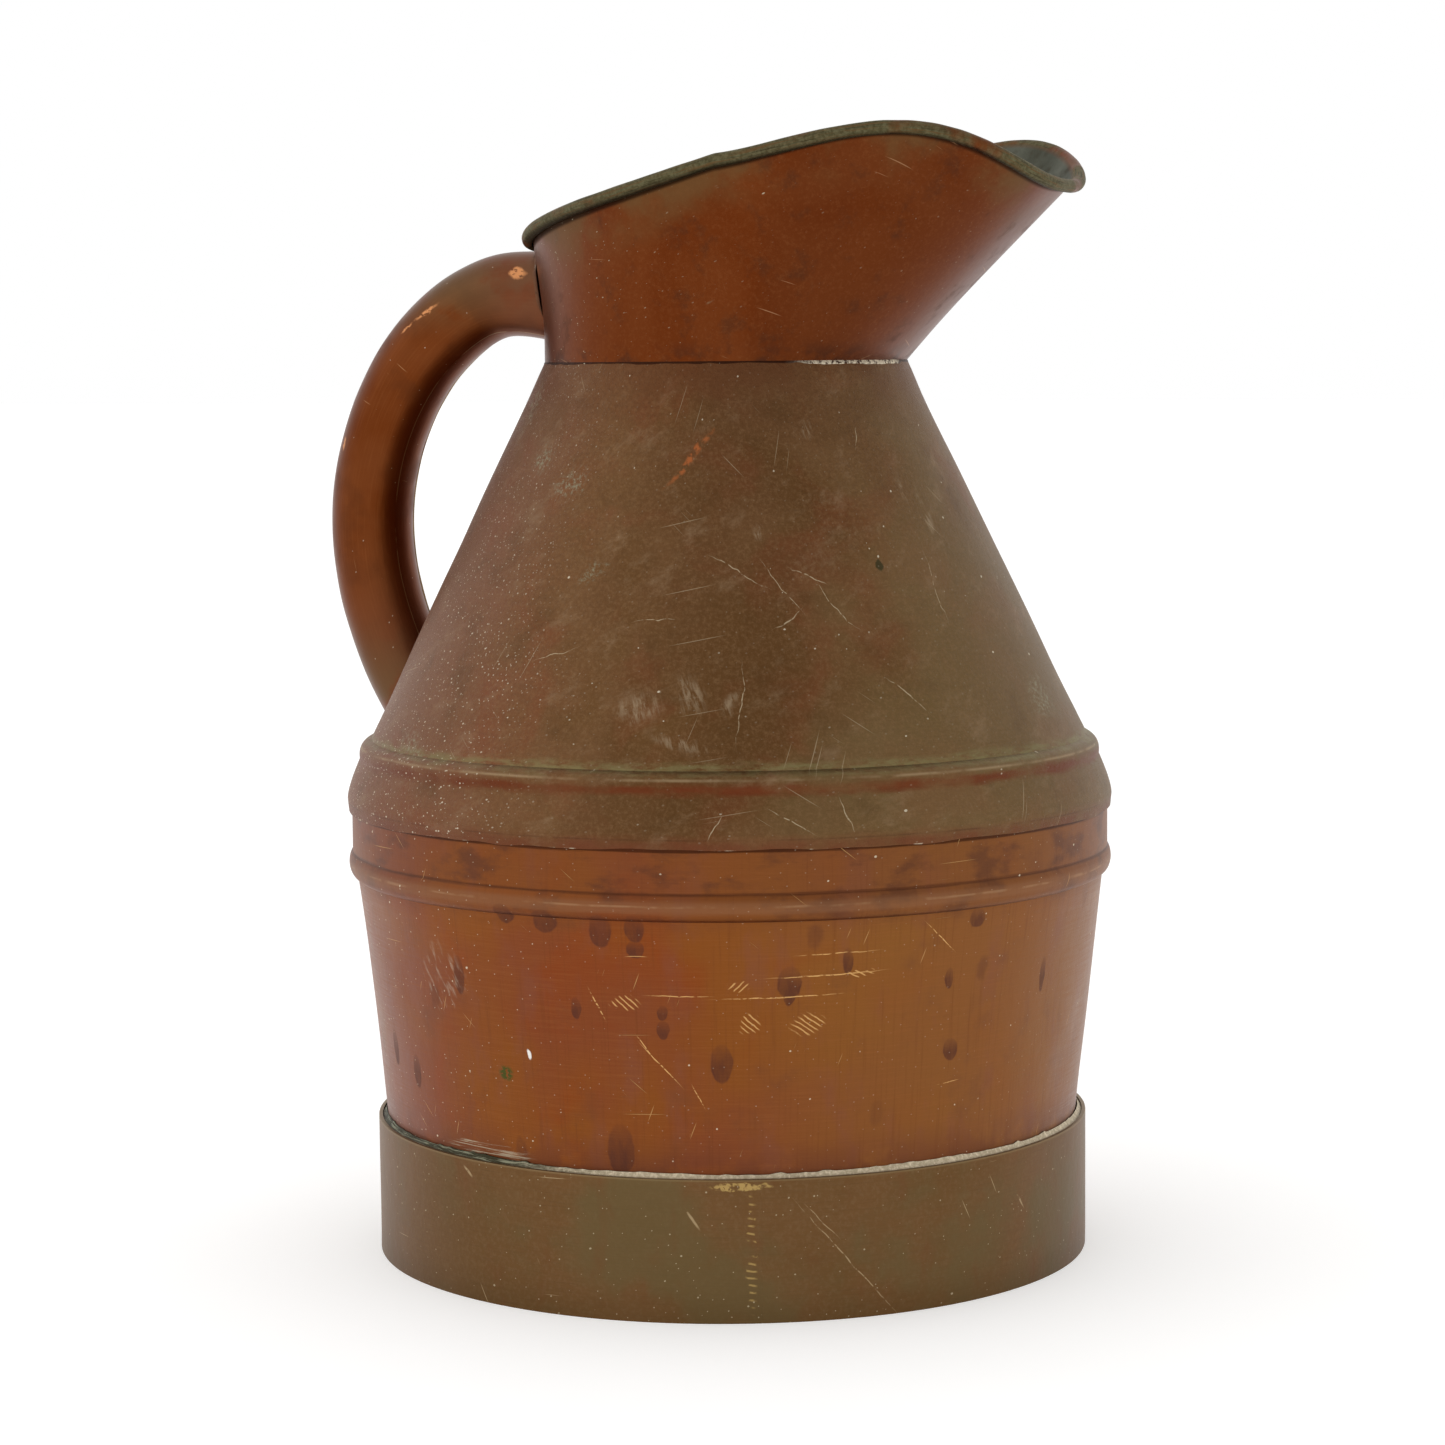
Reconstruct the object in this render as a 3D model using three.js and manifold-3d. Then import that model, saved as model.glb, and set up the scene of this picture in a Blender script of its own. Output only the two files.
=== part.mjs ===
// A two-gallon copper water jug in sheet metal: tapered drum, cone shoulder, oblique flared spout
// with a wired edge, hollow grip, and a foot band. Everything is joined by laps and soft solder.
// Millimetres, +Z up. The spout points to +X, the grip to -X, and Y = 0 is the plane of symmetry.
// The origin is on the ground, under the centre of the whole jug's box.
import * as THREE from "three";
import { mergeVertices } from "three/addons/utils/BufferGeometryUtils.js";
import Module from "manifold-3d";

const wasm = await Module();
wasm.setup();

// ---------------------------------------------------------------- driving dimensions

const AXIS_X = 8.7; // from the origin to the axis of the drum, cone and neck
const SEGMENTS = 48; // facets round the jug
const ARC_STEPS = 4; // points on each bead and rounded corner
const SHEET = 0.9; // thickness of the copper sheet
const GAP = 0.3; // clearance between neighbouring pieces

// Foot band and the bottom of the jug
const BAND_R = 114;
const BAND_HEIGHT = 43.2;
const BAND_SHEET = 1.2;
const BAND_EDGE = 0.4; // bevel on the band's top edge
const BAND_SEAM_ANGLE = THREE.MathUtils.degToRad(-64);
const BAND_SEAM_WIDTH = 0.4;
const BASE_Z = 8; // height of the bottom disc over the ground
const BASE_R = BAND_R - BAND_SHEET - 0.4;
const FOLD_WIDTH = 2.2; // the disc's edge, folded back over the drum's flange

// Drum: a taper, then a swaged bead, then a short upright stretch inside the cone's skirt
const DRUM_TAPER_TOP = { r: 119.3, z: 120.5 };
const DRUM_TAPER = 0.1065; // growth of the radius per unit of height
const DRUM_BEAD_R = 122;
const DRUM_BEAD_HEIGHT = 8;
const DRUM_TOP_R = 120.6;
const DRUM_TOP_Z = 145.6;

// Cone: a skirt over the drum, a rounded corner, a swaged bead, and the straight cone
const SKIRT = { r: 121.8, z: 141.6 };
const CORNER = { r: 122.3, z: 145.5 };
const CONE_BEAD_FOOT = { r: 118.1, z: 157.9 };
const CONE_BEAD_HEAD = { r: 114.3, z: 164.2 };
const CONE_TOP = { r: 57.7, z: 282.5 };
const CONE_COLLAR_R = 56.3; // short upright collar inside the neck
const CONE_COLLAR_TOP = 289;

// Neck and spout: a ruled sheet from the round neck up to the mouth's rim
const NECK_R = 57.1; // middle of the sheet
const NECK_Z = 283.4;
const RIM_CENTRE_X = 24.5;
const RIM_HALF_LENGTH = 87.5;
const RIM_HALF_WIDTH = 68.5;
const RIM_FRONT_POWER = 2.5; // superellipse in front, plain ellipse behind
const RIM_BACK_POWER = 2;
const RIM_HEIGHT_WAVES = [336.8, 11.5, -7.3, -3.9, -1.7]; // cosine terms of the angle round the rim
const ROLL_R = 2.2; // outside radius of the edge rolled over the wire
const ROLL_END = THREE.MathUtils.degToRad(-112);
const WIRE_R = 1;

// Grip: an open tube of sheet with a flat strip soldered into its inner side
const GRIP_R = 13.6;
const GRIP_ROUTE = [
  [-50, 305],
  [-81, 303.5],
  [-103, 289],
  [-118, 267],
  [-125.8, 240],
  [-125, 214],
  [-116.5, 187],
  [-103, 163],
]; // x and z of the tube's centre line, from inside the neck to inside the cone
const GRIP_STEPS = 26;
const STRIP_ANGLE = THREE.MathUtils.degToRad(29); // half the opening that the strip closes
const STRIP_SHEET = 1;
const FILLET = 1.8; // how far the grip's solder spreads

const SOLDER_BITE = 3; // size of the hidden solder fillets
const NECK_SOLDER = 1.3; // height of the thin fillet at the neck seam

// ---------------------------------------------------------------- materials

function metal(colour, roughness, metalness) {
  return new THREE.MeshStandardMaterial({ color: colour, roughness, metalness });
}

const drumCopper = metal(0x8c4e23, 0.42, 0.9);
const shoulderCopper = metal(0x705237, 0.5, 0.85);
const spoutCopper = metal(0x643219, 0.36, 0.9);
const gripCopper = metal(0x824623, 0.38, 0.9);
const bandBrass = metal(0x69503a, 0.48, 0.85);
const solder = metal(0xb9b3a6, 0.55, 0.7);
const ironWire = metal(0x55524d, 0.6, 0.8);

// ---------------------------------------------------------------- helpers

const onPlane = (r, z) => new THREE.Vector2(r, z);

// A solid turned round the jug's axis from a closed outline of radii and heights.
function turned(outline) {
  const closed = [...outline, outline[0].clone()];
  return new THREE.LatheGeometry(closed, SEGMENTS).rotateX(Math.PI / 2);
}

// The closed outline of a sheet whose outer face follows the given points, bottom to top.
function sheetOutline(face, thickness) {
  const inner = face.map((point, i) => {
    const before = face[Math.max(i - 1, 0)];
    const after = face[Math.min(i + 1, face.length - 1)];
    const into = point.equals(before) ? after.clone().sub(point) : point.clone().sub(before);
    const out = point.equals(after) ? into.clone() : after.clone().sub(point);
    const bisector = into.normalize().add(out.normalize()).normalize();
    const mitre = thickness / bisector.dot(out);
    return onPlane(point.x - bisector.y * mitre, point.y + bisector.x * mitre);
  });
  return [...face, ...inner.reverse()];
}

// A closed skin over rings of points. Each ring has the same count. A closed loft meets itself;
// an open one is capped, by the triangles of its first ring's outline, at both ends.
function loft(rings, { closed, outline }) {
  const count = rings[0].length;
  const index = [];
  const spans = closed ? rings.length : rings.length - 1;
  for (let i = 0; i < spans; i += 1) {
    const here = i * count;
    const next = ((i + 1) % rings.length) * count;
    for (let k = 0; k < count; k += 1) {
      const l = (k + 1) % count;
      index.push(here + k, next + k, next + l, here + k, next + l, here + l);
    }
  }
  if (!closed) {
    const last = (rings.length - 1) * count;
    for (const [a, b, c] of THREE.ShapeUtils.triangulateShape(outline, [])) {
      index.push(a, b, c, last + a, last + c, last + b);
    }
  }
  const geometry = new THREE.BufferGeometry().setFromPoints(rings.flat());
  geometry.setIndex(index);
  return geometry;
}

function solidOf(geometry) {
  const bare = geometry.clone();
  bare.deleteAttribute("normal");
  bare.deleteAttribute("uv");
  const merged = mergeVertices(bare, 1e-3);
  const vertProperties = new Float32Array(merged.attributes.position.array);
  const triVerts = new Uint32Array(merged.index.array);
  return new wasm.Manifold(new wasm.Mesh({ numProp: 3, vertProperties, triVerts }));
}

function geometryOf(solid) {
  const { vertProperties, triVerts } = solid.getMesh();
  const geometry = new THREE.BufferGeometry();
  geometry.setAttribute("position", new THREE.BufferAttribute(vertProperties, 3));
  geometry.setIndex(new THREE.BufferAttribute(triVerts, 1));
  return geometry;
}

function piece(name, geometry, material) {
  geometry.computeVertexNormals();
  const mesh = new THREE.Mesh(geometry, material);
  mesh.name = name;
  return mesh;
}

const stations = Array.from({ length: SEGMENTS }, (_, i) => (i / SEGMENTS) * 2 * Math.PI);

// ---------------------------------------------------------------- foot and drum

const drumRadius = (z) => DRUM_TAPER_TOP.r - (DRUM_TAPER_TOP.z - z) * DRUM_TAPER;

// The band is one strip, butted at its seam.
function footBand() {
  const inner = BAND_R - BAND_SHEET;
  const outline = [
    onPlane(inner, 0),
    onPlane(BAND_R, 0),
    onPlane(BAND_R, BAND_HEIGHT - BAND_EDGE),
    onPlane(BAND_R - BAND_EDGE, BAND_HEIGHT),
    onPlane(inner, BAND_HEIGHT),
  ];
  const halfSeam = BAND_SEAM_WIDTH / 2 / BAND_R;
  const turn = 2 * Math.PI;
  const start = BAND_SEAM_ANGLE + halfSeam;
  const end = BAND_SEAM_ANGLE - halfSeam + turn;
  const between = stations.map((angle) => (angle > end ? angle - turn : angle));
  const angles = [start, ...between.sort((a, b) => a - b), end];
  const rings = angles.map((angle) =>
    outline.map((p) => new THREE.Vector3(p.x * Math.cos(angle), p.x * Math.sin(angle), p.y)),
  );
  return loft(rings, { closed: false, outline });
}

// The bottom disc, with its edge folded back over the drum's flange.
function basePlate() {
  const foldTop = BASE_Z + 3 * SHEET + 2 * GAP;
  return new THREE.LatheGeometry(
    [
      onPlane(0, BASE_Z),
      onPlane(BASE_R, BASE_Z),
      onPlane(BASE_R, foldTop),
      onPlane(BASE_R - FOLD_WIDTH, foldTop),
      onPlane(BASE_R - FOLD_WIDTH, foldTop - SHEET),
      onPlane(BASE_R - SHEET, foldTop - SHEET),
      onPlane(BASE_R - SHEET, BASE_Z + SHEET),
      onPlane(0, BASE_Z + SHEET),
    ],
    SEGMENTS,
  ).rotateX(Math.PI / 2);
}

function drum() {
  const flangeTop = BASE_Z + 2 * SHEET + GAP;
  const bend = 2;
  const face = new THREE.Path();
  face.moveTo(BASE_R - SHEET - GAP, flangeTop);
  face.lineTo(drumRadius(flangeTop) + bend, flangeTop);
  face.lineTo(drumRadius(flangeTop + bend), flangeTop + bend);
  face.lineTo(DRUM_TAPER_TOP.r, DRUM_TAPER_TOP.z);
  const beadTop = DRUM_TAPER_TOP.z + DRUM_BEAD_HEIGHT;
  const crest = DRUM_TAPER_TOP.z + DRUM_BEAD_HEIGHT / 2;
  face.quadraticCurveTo(DRUM_BEAD_R, DRUM_TAPER_TOP.z + 1, DRUM_BEAD_R, crest);
  face.quadraticCurveTo(DRUM_BEAD_R, beadTop - 1, DRUM_TOP_R, beadTop);
  face.lineTo(DRUM_TOP_R, DRUM_TOP_Z);
  return turned(sheetOutline(face.getPoints(ARC_STEPS), SHEET));
}

function footBandSolder() {
  const low = BAND_HEIGHT - 6;
  const inner = BAND_R - BAND_SHEET - GAP;
  return turned([
    onPlane(drumRadius(low) + GAP, low),
    onPlane(inner, low),
    onPlane(inner, BAND_HEIGHT - BAND_EDGE),
    onPlane(drumRadius(BAND_HEIGHT) + GAP + 1, BAND_HEIGHT + 0.6),
    onPlane(drumRadius(BAND_HEIGHT) + GAP, BAND_HEIGHT + 2),
  ]);
}

function baseSolder() {
  const floor = BASE_Z + 2 * SHEET + 2 * GAP;
  const wall = drumRadius(floor) - SHEET - GAP;
  return turned([
    onPlane(wall - SOLDER_BITE, floor),
    onPlane(wall, floor),
    onPlane(wall, floor + SOLDER_BITE),
  ]);
}

// ---------------------------------------------------------------- cone

function coneFace() {
  const face = new THREE.Path();
  face.moveTo(SKIRT.r, SKIRT.z);
  face.lineTo(CORNER.r, CORNER.z);
  face.quadraticCurveTo(CORNER.r, CORNER.z + 3.5, CONE_BEAD_FOOT.r, CONE_BEAD_FOOT.z);
  face.quadraticCurveTo(
    CONE_BEAD_FOOT.r + 0.8,
    CONE_BEAD_HEAD.z - 1.2,
    CONE_BEAD_HEAD.r,
    CONE_BEAD_HEAD.z,
  );
  face.lineTo(CONE_TOP.r, CONE_TOP.z);
  return face.getPoints(ARC_STEPS);
}

function cone() {
  const face = [
    ...coneFace(),
    onPlane(CONE_COLLAR_R, CONE_TOP.z + 0.4),
    onPlane(CONE_COLLAR_R, CONE_COLLAR_TOP),
  ];
  return turned(sheetOutline(face, SHEET));
}

// The space the cone fills from outside, grown by a clearance: it trims what rests on the cone.
function coneBlock(clearance) {
  const grown = coneFace().map((p) => onPlane(p.x + clearance, p.y));
  const bottom = grown[0].y;
  const top = grown[grown.length - 1].y;
  const geometry = new THREE.LatheGeometry(
    [onPlane(0, bottom), ...grown, onPlane(0, top)],
    SEGMENTS,
  );
  return solidOf(geometry.rotateX(Math.PI / 2));
}

function shoulderLapSolder() {
  const floor = DRUM_TOP_Z + GAP;
  const wall = CORNER.r - SHEET - 2 * GAP;
  return turned([
    onPlane(wall - SOLDER_BITE, floor),
    onPlane(wall - GAP, floor),
    onPlane(wall - GAP - 0.4, floor + SOLDER_BITE),
  ]);
}

// A fillet under the neck's edge, outside the top of the cone.
function neckSolder() {
  const slope = (CONE_BEAD_HEAD.r - CONE_TOP.r) / (CONE_TOP.z - CONE_BEAD_HEAD.z);
  const wall = (z) => CONE_TOP.r + (CONE_TOP.z - z) * slope + GAP;
  const low = CONE_TOP.z - NECK_SOLDER;
  const high = NECK_Z - GAP;
  return turned([
    onPlane(wall(low), low),
    onPlane(wall(low) + NECK_SOLDER / 2, high),
    onPlane(wall(CONE_TOP.z), high),
    onPlane(wall(CONE_TOP.z), CONE_TOP.z),
  ]);
}

// ---------------------------------------------------------------- neck, spout and rim

// Centre of the rolled edge at an angle round the mouth. 0 is the spout's tip.
function rimPoint(angle) {
  const c = Math.cos(angle);
  const s = Math.sin(angle);
  const power = 2 / (c > 0 ? RIM_FRONT_POWER : RIM_BACK_POWER);
  const x = RIM_CENTRE_X + RIM_HALF_LENGTH * Math.sign(c) * Math.abs(c) ** power;
  const y = RIM_HALF_WIDTH * Math.sign(s) * Math.abs(s) ** power;
  const z = RIM_HEIGHT_WAVES.reduce((sum, wave, k) => sum + wave * Math.cos(k * angle), 0);
  return new THREE.Vector3(x, y, z);
}

const neckPoint = (angle) =>
  new THREE.Vector3(NECK_R * Math.cos(angle), NECK_R * Math.sin(angle), NECK_Z);

// The foot of the sheet, the roll's centre, and the directions out of and up the sheet there.
function spoutStation(angle) {
  const step = 0.02;
  const foot = neckPoint(angle);
  const roll = rimPoint(angle);
  const along = rimPoint(angle + step).sub(rimPoint(angle - step)).normalize();
  const up = roll.clone().sub(foot).normalize();
  const out = along.clone().cross(up).normalize();
  return { foot, roll, out, up: out.clone().cross(along).normalize() };
}

function arcRound({ roll, out, up }, radius, from, to, steps) {
  return Array.from({ length: steps + 1 }, (_, i) => {
    const angle = from + ((to - from) * i) / steps;
    const across = out.clone().multiplyScalar(radius * Math.cos(angle));
    return roll.clone().add(across).addScaledVector(up, radius * Math.sin(angle));
  });
}

// Up the outer face, round the inside of the roll, back round its outside and down the inner face.
function neckSpout() {
  const steps = 8;
  const rings = stations.map((angle) => {
    const at = spoutStation(angle);
    const flat = new THREE.Vector3(Math.cos(angle), Math.sin(angle), 0);
    return [
      at.foot.clone().addScaledVector(flat, SHEET / 2),
      ...arcRound(at, ROLL_R - SHEET, Math.PI, ROLL_END, steps),
      ...arcRound(at, ROLL_R, ROLL_END, Math.PI, steps),
      at.foot.clone().addScaledVector(flat, -SHEET / 2),
    ];
  });
  return loft(rings, { closed: true });
}

function rimWire() {
  const sides = 8;
  const rings = stations.map((angle) =>
    arcRound(spoutStation(angle), WIRE_R, 0, 2 * Math.PI, sides).slice(0, sides),
  );
  return loft(rings, { closed: true });
}

// The space the neck fills from outside, grown by a clearance, up to just under the roll.
function neckBlock(clearance) {
  const rings = stations.map((angle) => {
    const { foot, roll, out } = spoutStation(angle);
    const grow = SHEET / 2 + clearance;
    const top = roll.clone().addScaledVector(out, SHEET / 2 - ROLL_R);
    return [foot.addScaledVector(out, grow), top.addScaledVector(out, grow)];
  });
  const feet = rings.map(([foot]) => foot);
  const tops = rings.map(([, top]) => top);
  const points = [...feet, ...tops, new THREE.Vector3(0, 0, NECK_Z)];
  const middle = new THREE.Vector3(RIM_CENTRE_X, 0, RIM_HEIGHT_WAVES[0]);
  points.push(middle);
  const index = [];
  for (let i = 0; i < SEGMENTS; i += 1) {
    const j = (i + 1) % SEGMENTS;
    index.push(i, j, SEGMENTS + j, i, SEGMENTS + j, SEGMENTS + i);
    index.push(2 * SEGMENTS, j, i, 2 * SEGMENTS + 1, SEGMENTS + i, SEGMENTS + j);
  }
  const geometry = new THREE.BufferGeometry().setFromPoints(points);
  geometry.setIndex(index);
  return solidOf(geometry);
}

// The rolled edge as a plain ring, grown by a clearance: it trims the grip's top solder.
function rollBlock(clearance) {
  const sides = 8;
  const rings = stations.map((angle) =>
    arcRound(spoutStation(angle), ROLL_R + clearance, 0, 2 * Math.PI, sides).slice(0, sides),
  );
  return solidOf(loft(rings, { closed: true }));
}

// ---------------------------------------------------------------- grip

const gripRoute = new THREE.CatmullRomCurve3(
  GRIP_ROUTE.map(([x, z]) => new THREE.Vector3(x, 0, z)),
);

// A section drawn with +y on the grip's outer side, swept along its route.
function alongGrip(shape) {
  return new THREE.ExtrudeGeometry(shape, {
    steps: GRIP_STEPS,
    curveSegments: 9,
    extrudePath: gripRoute,
  });
}

function gripDisc(radius) {
  return new THREE.Shape().absarc(0, 0, radius, 0, 2 * Math.PI, false);
}

function trimmedToJug(geometry) {
  return solidOf(geometry).subtract(neckBlock(GAP)).subtract(coneBlock(GAP)).subtract(rollBlock(GAP));
}

// The tube is open at both ends, so what is left inside the jug after trimming is thrown away.
function outsideJug(solid) {
  const parts = solid.decompose();
  const reach = (part) => part.boundingBox().min[0];
  return parts.reduce((best, part) => (reach(part) < reach(best) ? part : best));
}

function handleShell() {
  const from = STRIP_ANGLE - Math.PI / 2;
  const to = 1.5 * Math.PI - STRIP_ANGLE;
  const shape = new THREE.Shape();
  shape.absarc(0, 0, GRIP_R, from, to, false);
  shape.absarc(0, 0, GRIP_R - SHEET, to, from, true);
  return geometryOf(outsideJug(trimmedToJug(alongGrip(shape))));
}

function handleStrip() {
  const half = (GRIP_R - SHEET) * Math.sin(STRIP_ANGLE) - GAP;
  const low = -GRIP_R * Math.cos(STRIP_ANGLE);
  const shape = new THREE.Shape();
  shape.moveTo(-half, low);
  shape.lineTo(half, low);
  shape.lineTo(half, low + STRIP_SHEET);
  shape.lineTo(-half, low + STRIP_SHEET);
  shape.closePath();
  return geometryOf(outsideJug(trimmedToJug(alongGrip(shape))));
}

// A ring of solder round the grip where it meets a wall. The block is the wall's outside.
function gripFillet(block) {
  const spread = solidOf(alongGrip(gripDisc(GRIP_R + FILLET)));
  const clear = solidOf(alongGrip(gripDisc(GRIP_R + GAP)));
  return spread.subtract(clear).intersect(block(GAP + FILLET)).subtract(block(GAP));
}

function handleUpperSolder() {
  const ring = gripFillet(neckBlock).subtract(rollBlock(GAP));
  return geometryOf(outsideJug(ring));
}

function handleLowerSolder() {
  return geometryOf(outsideJug(gripFillet(coneBlock)));
}

// ---------------------------------------------------------------- the jug

const jug = new THREE.Group();
const pieces = new THREE.Group();
pieces.position.x = AXIS_X;
jug.add(pieces);

pieces.add(
  piece("foot_band", footBand(), bandBrass),
  piece("base_plate", basePlate(), drumCopper),
  piece("lower_body", drum(), drumCopper),
  piece("shoulder_cone", cone(), shoulderCopper),
  piece("neck_spout", neckSpout(), spoutCopper),
  piece("rim_wire", rimWire(), ironWire),
  piece("handle_shell", handleShell(), gripCopper),
  piece("handle_strip", handleStrip(), gripCopper),
  piece("foot_band_solder", footBandSolder(), solder),
  piece("base_solder", baseSolder(), solder),
  piece("shoulder_lap_solder", shoulderLapSolder(), solder),
  piece("neck_solder", neckSolder(), solder),
  piece("handle_upper_solder", handleUpperSolder(), solder),
  piece("handle_lower_solder", handleLowerSolder(), solder),
);

export default jug;
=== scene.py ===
import math

import bmesh
import bpy
import numpy as np
from mathutils import Matrix, Vector


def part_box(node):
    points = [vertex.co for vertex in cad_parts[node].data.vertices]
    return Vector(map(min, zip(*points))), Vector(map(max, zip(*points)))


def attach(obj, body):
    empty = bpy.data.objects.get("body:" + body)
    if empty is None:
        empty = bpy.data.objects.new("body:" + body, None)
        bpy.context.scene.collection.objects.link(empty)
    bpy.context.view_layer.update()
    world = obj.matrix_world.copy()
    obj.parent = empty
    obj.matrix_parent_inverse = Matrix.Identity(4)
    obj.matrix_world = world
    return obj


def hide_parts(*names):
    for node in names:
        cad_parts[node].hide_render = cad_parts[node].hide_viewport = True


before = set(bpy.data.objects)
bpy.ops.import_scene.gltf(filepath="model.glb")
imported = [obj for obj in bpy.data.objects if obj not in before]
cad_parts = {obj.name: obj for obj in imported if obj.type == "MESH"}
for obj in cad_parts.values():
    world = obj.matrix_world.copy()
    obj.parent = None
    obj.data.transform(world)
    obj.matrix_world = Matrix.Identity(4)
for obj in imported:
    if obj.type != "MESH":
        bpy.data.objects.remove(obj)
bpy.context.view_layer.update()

MM = 0.001
TURN = 2 * math.pi
AXIS_X = sum(corner.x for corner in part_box("lower_body")) / 2  # metres

# ---------------------------------------------------------------- dimensions

STATIONS = 384  # round the jug
SHEET = 0.9
GAP = 0.3  # between lapped sheets
FILLET = 3  # reach of the solder in the inside corners

BAND_R = 114
BAND_HEIGHT = 43.2
BAND_SHEET = 1.2
BAND_SEAM = math.radians(-64)
BAND_SEAM_HALF = math.radians(0.16)
BASE_Z = 8
BASE_R = 112.4
FOLD = 2.2
DOME_RISE = 1.1
DOME_R = 105
DOME_EDGE = 40

TAPER_TOP = (119.3, 120.5)
TAPER = 0.1065
DRUM_BEAD_CREST = (122, 124.8)
DRUM_BEAD_TOP = 128.8
DRUM_TOP_R = 120.85
DRUM_TOP_Z = 145.6

SKIRT = (121.8, 141.6)
CORNER = (122.2, 145.5)
CONE_BEAD_FOOT = (118.1, 157.9)
CONE_BEAD_HEAD = (114.3, 164.2)
CONE_TOP = (57.7, 282.5)
COLLAR_R = 56.3
COLLAR_TOP = 289

NECK_R = 57.1
NECK_Z = 282.8
PALE_SOLDER = math.radians(-21)  # a run of solder at the neck's foot
PALE_SOLDER_HALF = math.radians(25)
RIM_CENTRE_X = 24.5
RIM_HALF_LENGTH = 87.5
RIM_HALF_WIDTH = 68.5
RIM_FRONT_POWER = 2.5
RIM_BACK_POWER = 2
RIM_WAVES = (336.8, 11.5, -7.3, -3.9, -1.7)
ROLL_R = 2.2
ROLL_END = math.radians(-112)
MOUTH_UV_R = 70
WALL_STEPS = 44
ROLL_STEPS = 22
WIRE_R = 1.25

GRIP_R = 13.6
GRIP_ROUTE = [
    (-50, 305),
    (-81, 303.5),
    (-103, 289),
    (-118, 267),
    (-125.8, 240),
    (-125, 214),
    (-116.5, 187),
    (-103, 163),
]
STRIP_HALF_ANGLE = math.radians(30)
STRIP_SHEET = 1
STRIP_CROWN = 1.7  # how far the strip bows out between its edges
FLARE = 2.2  # the tube's underside droops a little at the neck
FLARE_START = 10
FLARE_LENGTH = 26

SIDE_SEAM = math.pi  # the lapped side seams of drum and cone, behind the grip
LAP = 0.7
LAP_FADE = math.radians(9)
LAP_STATIONS = [past - SIDE_SEAM for past in (0, 0.0008, 0.02, 0.05)] + [SIDE_SEAM - 0.0012]


# ---------------------------------------------------------------- meshes


def skin(name, grid, u, v, closed_run=True, marks=None):
    """A mesh over grid[station, section point]. Sections are closed, and an open run is capped."""
    runs, points = grid.shape[:2]
    first, second = np.meshgrid(
        np.arange(runs if closed_run else runs - 1), np.arange(points), indexing="ij"
    )
    beside, after = (second + 1) % points, (first + 1) % runs
    faces = np.stack(
        [
            first * points + second,
            first * points + beside,
            after * points + beside,
            after * points + second,
        ],
        axis=-1,
    ).reshape(-1, 4)
    corner_u = np.stack([u[first], u[first], u[first + 1], u[first + 1]], axis=-1).reshape(-1)
    corner_v = np.stack([v[second], v[second + 1], v[second + 1], v[second]], axis=-1).reshape(-1)
    if not closed_run:
        k = np.arange(points // 2 - 1)
        across = points - 1 - k
        for run, place in ((0, u[0]), (runs - 1, u[runs - 1])):
            cap = np.stack([k, k + 1, across - 1, across], axis=-1)
            faces = np.vstack([faces, cap + run * points])
            corner_u = np.append(corner_u, np.full(cap.size, place))
            corner_v = np.append(corner_v, v[cap].reshape(-1))
    mesh = bpy.data.meshes.new(name)
    world = grid.reshape(-1, 3) * MM + np.array([AXIS_X, 0, 0])
    mesh.from_pydata(world.tolist(), [], faces.tolist())
    layer = mesh.uv_layers.new(name="UVMap")
    layer.data.foreach_set("uv", np.stack([corner_u, corner_v], axis=-1).reshape(-1) * MM)
    for mark, values in (marks or {}).items():
        attribute = mesh.attributes.new(mark, "FLOAT", "POINT")
        full = np.broadcast_to(values, (runs, points)).astype(np.float32)
        attribute.data.foreach_set("value", full.reshape(-1))
    return finish_mesh(name, mesh)


def finish_mesh(name, mesh, crease=35):
    """Turns the faces outward, smooths them except at creases, and makes the object."""
    work = bmesh.new()
    work.from_mesh(mesh)
    bmesh.ops.recalc_face_normals(work, faces=work.faces)
    for face in work.faces:
        face.smooth = True
    work.to_mesh(mesh)
    work.free()
    mesh.set_sharp_from_angle(angle=math.radians(crease))
    thing = bpy.data.objects.new(name, mesh)
    bpy.context.scene.collection.objects.link(thing)
    return thing


def path_length(points):
    steps = np.linalg.norm(np.diff(points, axis=0), axis=1)
    return np.concatenate([[0], np.cumsum(steps)])


def curve(a, control, b, steps=10):
    """Points on a quadratic curve, without its last one."""
    t = np.arange(steps)[:, None] / steps
    a, control, b = (np.array(p, float) for p in (a, control, b))
    return (1 - t) ** 2 * a + 2 * t * (1 - t) * control + t**2 * b


def rounded(corners, radius, steps=4):
    """An open line of corners with each inner corner rounded."""
    corners = [np.array(p, float) for p in corners]
    line = [corners[0][None]]
    for before, corner, after in zip(corners, corners[1:], corners[2:]):
        reach_in = min(radius, np.linalg.norm(corner - before) * 0.45)
        reach_out = min(radius, np.linalg.norm(after - corner) * 0.45)
        start = corner + (before - corner) / np.linalg.norm(before - corner) * reach_in
        end = corner + (after - corner) / np.linalg.norm(after - corner) * reach_out
        line += [curve(start, corner, end, steps), end[None]]
    return np.vstack(line + [corners[-1][None]])


def dense(line, spacing):
    """The same line with no step longer than the spacing."""
    out = []
    for a, b in zip(line, line[1:]):
        count = max(1, math.ceil(np.linalg.norm(b - a) / spacing))
        out += [a + (b - a) * i / count for i in range(count)]
    return np.array(out + [line[-1]])


def sheet_section(face, thickness):
    """A sheet's closed outline from its outer face, going up, and its points on the inside."""
    along = np.gradient(face, axis=0)
    along /= np.linalg.norm(along, axis=1)[:, None]
    inner = face - thickness * np.stack([along[:, 1], -along[:, 0]], axis=-1)
    outline = np.vstack([face, inner[::-1]])
    return outline, np.repeat([0.0, 1.0], len(face))


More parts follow.
